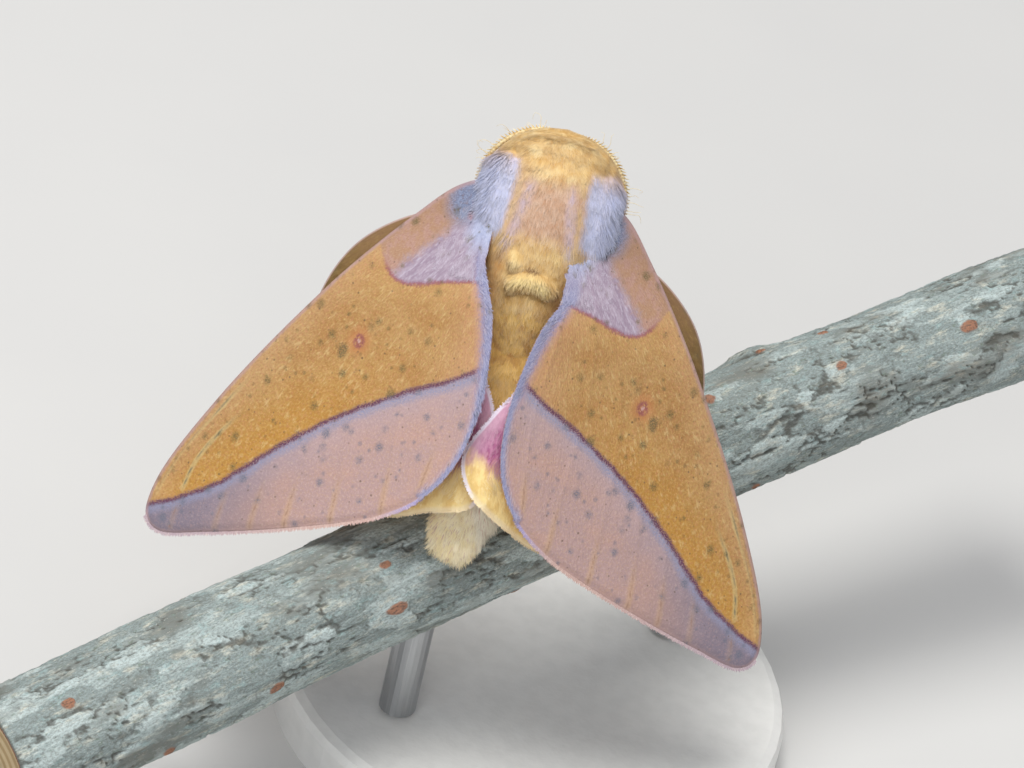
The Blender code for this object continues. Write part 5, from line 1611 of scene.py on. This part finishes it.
rim_scales, paint = finish("rim_scales", Specular_IOR_Level=0.25, Roughness=0.6)
out = paint.kept("flat").parts()[0]
share, chance = paint.kept("strand").parts()[:2]
colour = paint.layers(
    paint.mix(tone(196, 164, 154), tone(180, 160, 168), out.rise(8.0, 20.0)),
    (160, 150, 190, out.rise(6.0, 2.5)),
    # Darker fringe roots: painted shade where the fringe meets the wing.
    (150, 112, 122, share.rise(0.4, 0.0) * 0.15),
    (232, 214, 204, chance.rise(0.7, 1.0) * 0.6),
)
dress(rim_scales, Base_Color=colour)

for name, side in SIDES:
    draw = np.random.default_rng(50 + side)
    for wing, form, hind, colour in (
        ("forewing", fore_outline(side), False, rim_scales),
        ("hindwing", hind_outline(side), True, scaled_hindwing),
    ):
        rows = [
            rim_walk(form, part, count, draw, draw.uniform(0.0, 0.22, count))
            for part, count in FRINGE_COUNTS[wing]
        ]
        spots, outward, ahead = (np.concatenate(group) for group in zip(*rows))
        lies = outward + draw.normal(0, 0.15, outward.shape)
        size = (draw.uniform(0.14, 0.30, len(spots)) * (0.6 if hind else 1.0), 0.08, 0.02)
        wing_coat(f"fringe_{wing}_{name}", spots, lies, size, side, hind, colour, draw, 0.07)

    inset = 0.02 + 0.5 * draw.random(FOLD_HAIRS) ** 1.5
    spots, outward, ahead = rim_walk(fore_outline(side), "inner", FOLD_HAIRS, draw, inset)
    lies = 0.5 * outward - ahead * np.sign(ahead[:, 1])[:, None] + draw.normal(0, 0.12, outward.shape)
    size = (draw.uniform(0.25, 0.5, FOLD_HAIRS), 0.045, 0.04)
    wing_coat(f"fold_hair_{name}", spots, lies, size, side, False, scaled_forewing, draw)

    aside = 3.4 * draw.random(SHOULDER_HAIRS) ** 1.3
    front = 3.5 - 0.2 * aside - 0.12 * aside**2
    place = front - (front + 2.4) * draw.random(SHOULDER_HAIRS)
    spots = np.column_stack([SHOULDER_OUT + aside, place])
    lies = np.column_stack([0.16 * aside, np.full(SHOULDER_HAIRS, -1.0)])
    lies += draw.normal(0, 0.12, lies.shape)
    lengths = draw.uniform(0.45, 0.8, SHOULDER_HAIRS) * step(9.0, 3.0, SHOULDER_OUT + aside - 0.5 * place)
    wing_coat(
        f"shoulder_hair_{name}", spots, lies, (lengths, 0.05, 0.04), side, False, scaled_forewing, draw
    )

    inset = draw.uniform(0.5, 2.8, ROSY_HAIRS)
    spots, outward, ahead = rim_walk(hind_outline(side), "inner", ROSY_HAIRS, draw, inset)
    lies = -ahead * np.sign(ahead[:, 1])[:, None] - 0.15 * outward + draw.normal(0, 0.08, outward.shape)
    size = (draw.uniform(0.5, 1.0, ROSY_HAIRS), 0.04, 0.02)
    wing_coat(f"rosy_hair_{name}", spots, lies, size, side, True, scaled_hindwing, draw)

# Setting
# A plain pale floor under soft studio light: a broad lamp above, a fill from the front and a faint one at
# the side. The camera has the photograph's own view.

CAMERA_ROLL = math.radians(13.4)
CAMERA_LENS = 171.9
CAMERA_SPOT = Vector((-5.71, -252.8, 202.3)) * MILLIMETRE
CAMERA_AIM = Vector((-5.71, -7.05, 30.21)) * MILLIMETRE
FILM_WIDTH = 36
LIGHT_AIM = Vector((0, 0, 0.03))
FLOOR_HALF = 3.0
SKY_COLOUR = (0.86, 0.90, 1.0, 1)
SKY_STRENGTH = 0.28

plain_floor, paint = finish("plain_floor", Roughness=0.85, Specular_IOR_Level=0.2)
spot = paint.node("TexCoord", output="Object")
dress(plain_floor, Base_Color=paint.mix(tone(206, 205, 202), tone(202, 201, 199), spot.noise(60.0)))
ground = bmesh.new()
bmesh.ops.create_grid(ground, x_segments=1, y_segments=1, size=FLOOR_HALF)
data = bpy.data.meshes.new("floor")
ground.to_mesh(data)
ground.free()
floor = bpy.data.objects.new("floor", data)
bpy.context.scene.collection.objects.link(floor)
data.materials.append(plain_floor)

for name, spot, size, power, colour in (
    ("key_light", (-0.12, -0.04, 0.64), 0.42, 4.2, (1.0, 0.99, 0.97)),
    ("fill_light", (-0.12, -0.62, 0.36), 0.60, 2.0, (0.97, 0.98, 1.0)),
    ("side_light", (0.55, 0.05, 0.30), 0.45, 0.4, (1.0, 0.98, 0.96)),
):
    lamp = bpy.data.lights.new(name, "AREA")
    lamp.shape = "DISK"
    lamp.size = size
    lamp.energy = power
    lamp.color = colour
    placed = bpy.data.objects.new(name, lamp)
    placed.location = spot
    placed.rotation_mode = "QUATERNION"
    placed.rotation_quaternion = (LIGHT_AIM - Vector(spot)).to_track_quat("-Z", "Y")
    bpy.context.scene.collection.objects.link(placed)

world = bpy.data.worlds.new("studio")
world.use_nodes = True
world.node_tree.nodes["Background"].inputs["Color"].default_value = SKY_COLOUR
world.node_tree.nodes["Background"].inputs["Strength"].default_value = SKY_STRENGTH
bpy.context.scene.world = world
bpy.context.scene.view_settings.view_transform = "Standard"

lens = bpy.data.cameras.new("camera")
lens.lens = CAMERA_LENS
lens.sensor_width = FILM_WIDTH
lens.clip_start = 0.01
camera = bpy.data.objects.new("camera", lens)
bpy.context.scene.collection.objects.link(camera)
back = (CAMERA_SPOT - CAMERA_AIM).normalized()
level = Vector((1, 0, 0))
upright = back.cross(level)
right = math.cos(CAMERA_ROLL) * level + math.sin(CAMERA_ROLL) * upright
camera.location = CAMERA_SPOT
camera.rotation_mode = "QUATERNION"
camera.rotation_quaternion = Matrix((right, back.cross(right), back)).transposed().to_quaternion()
bpy.context.scene.camera = camera
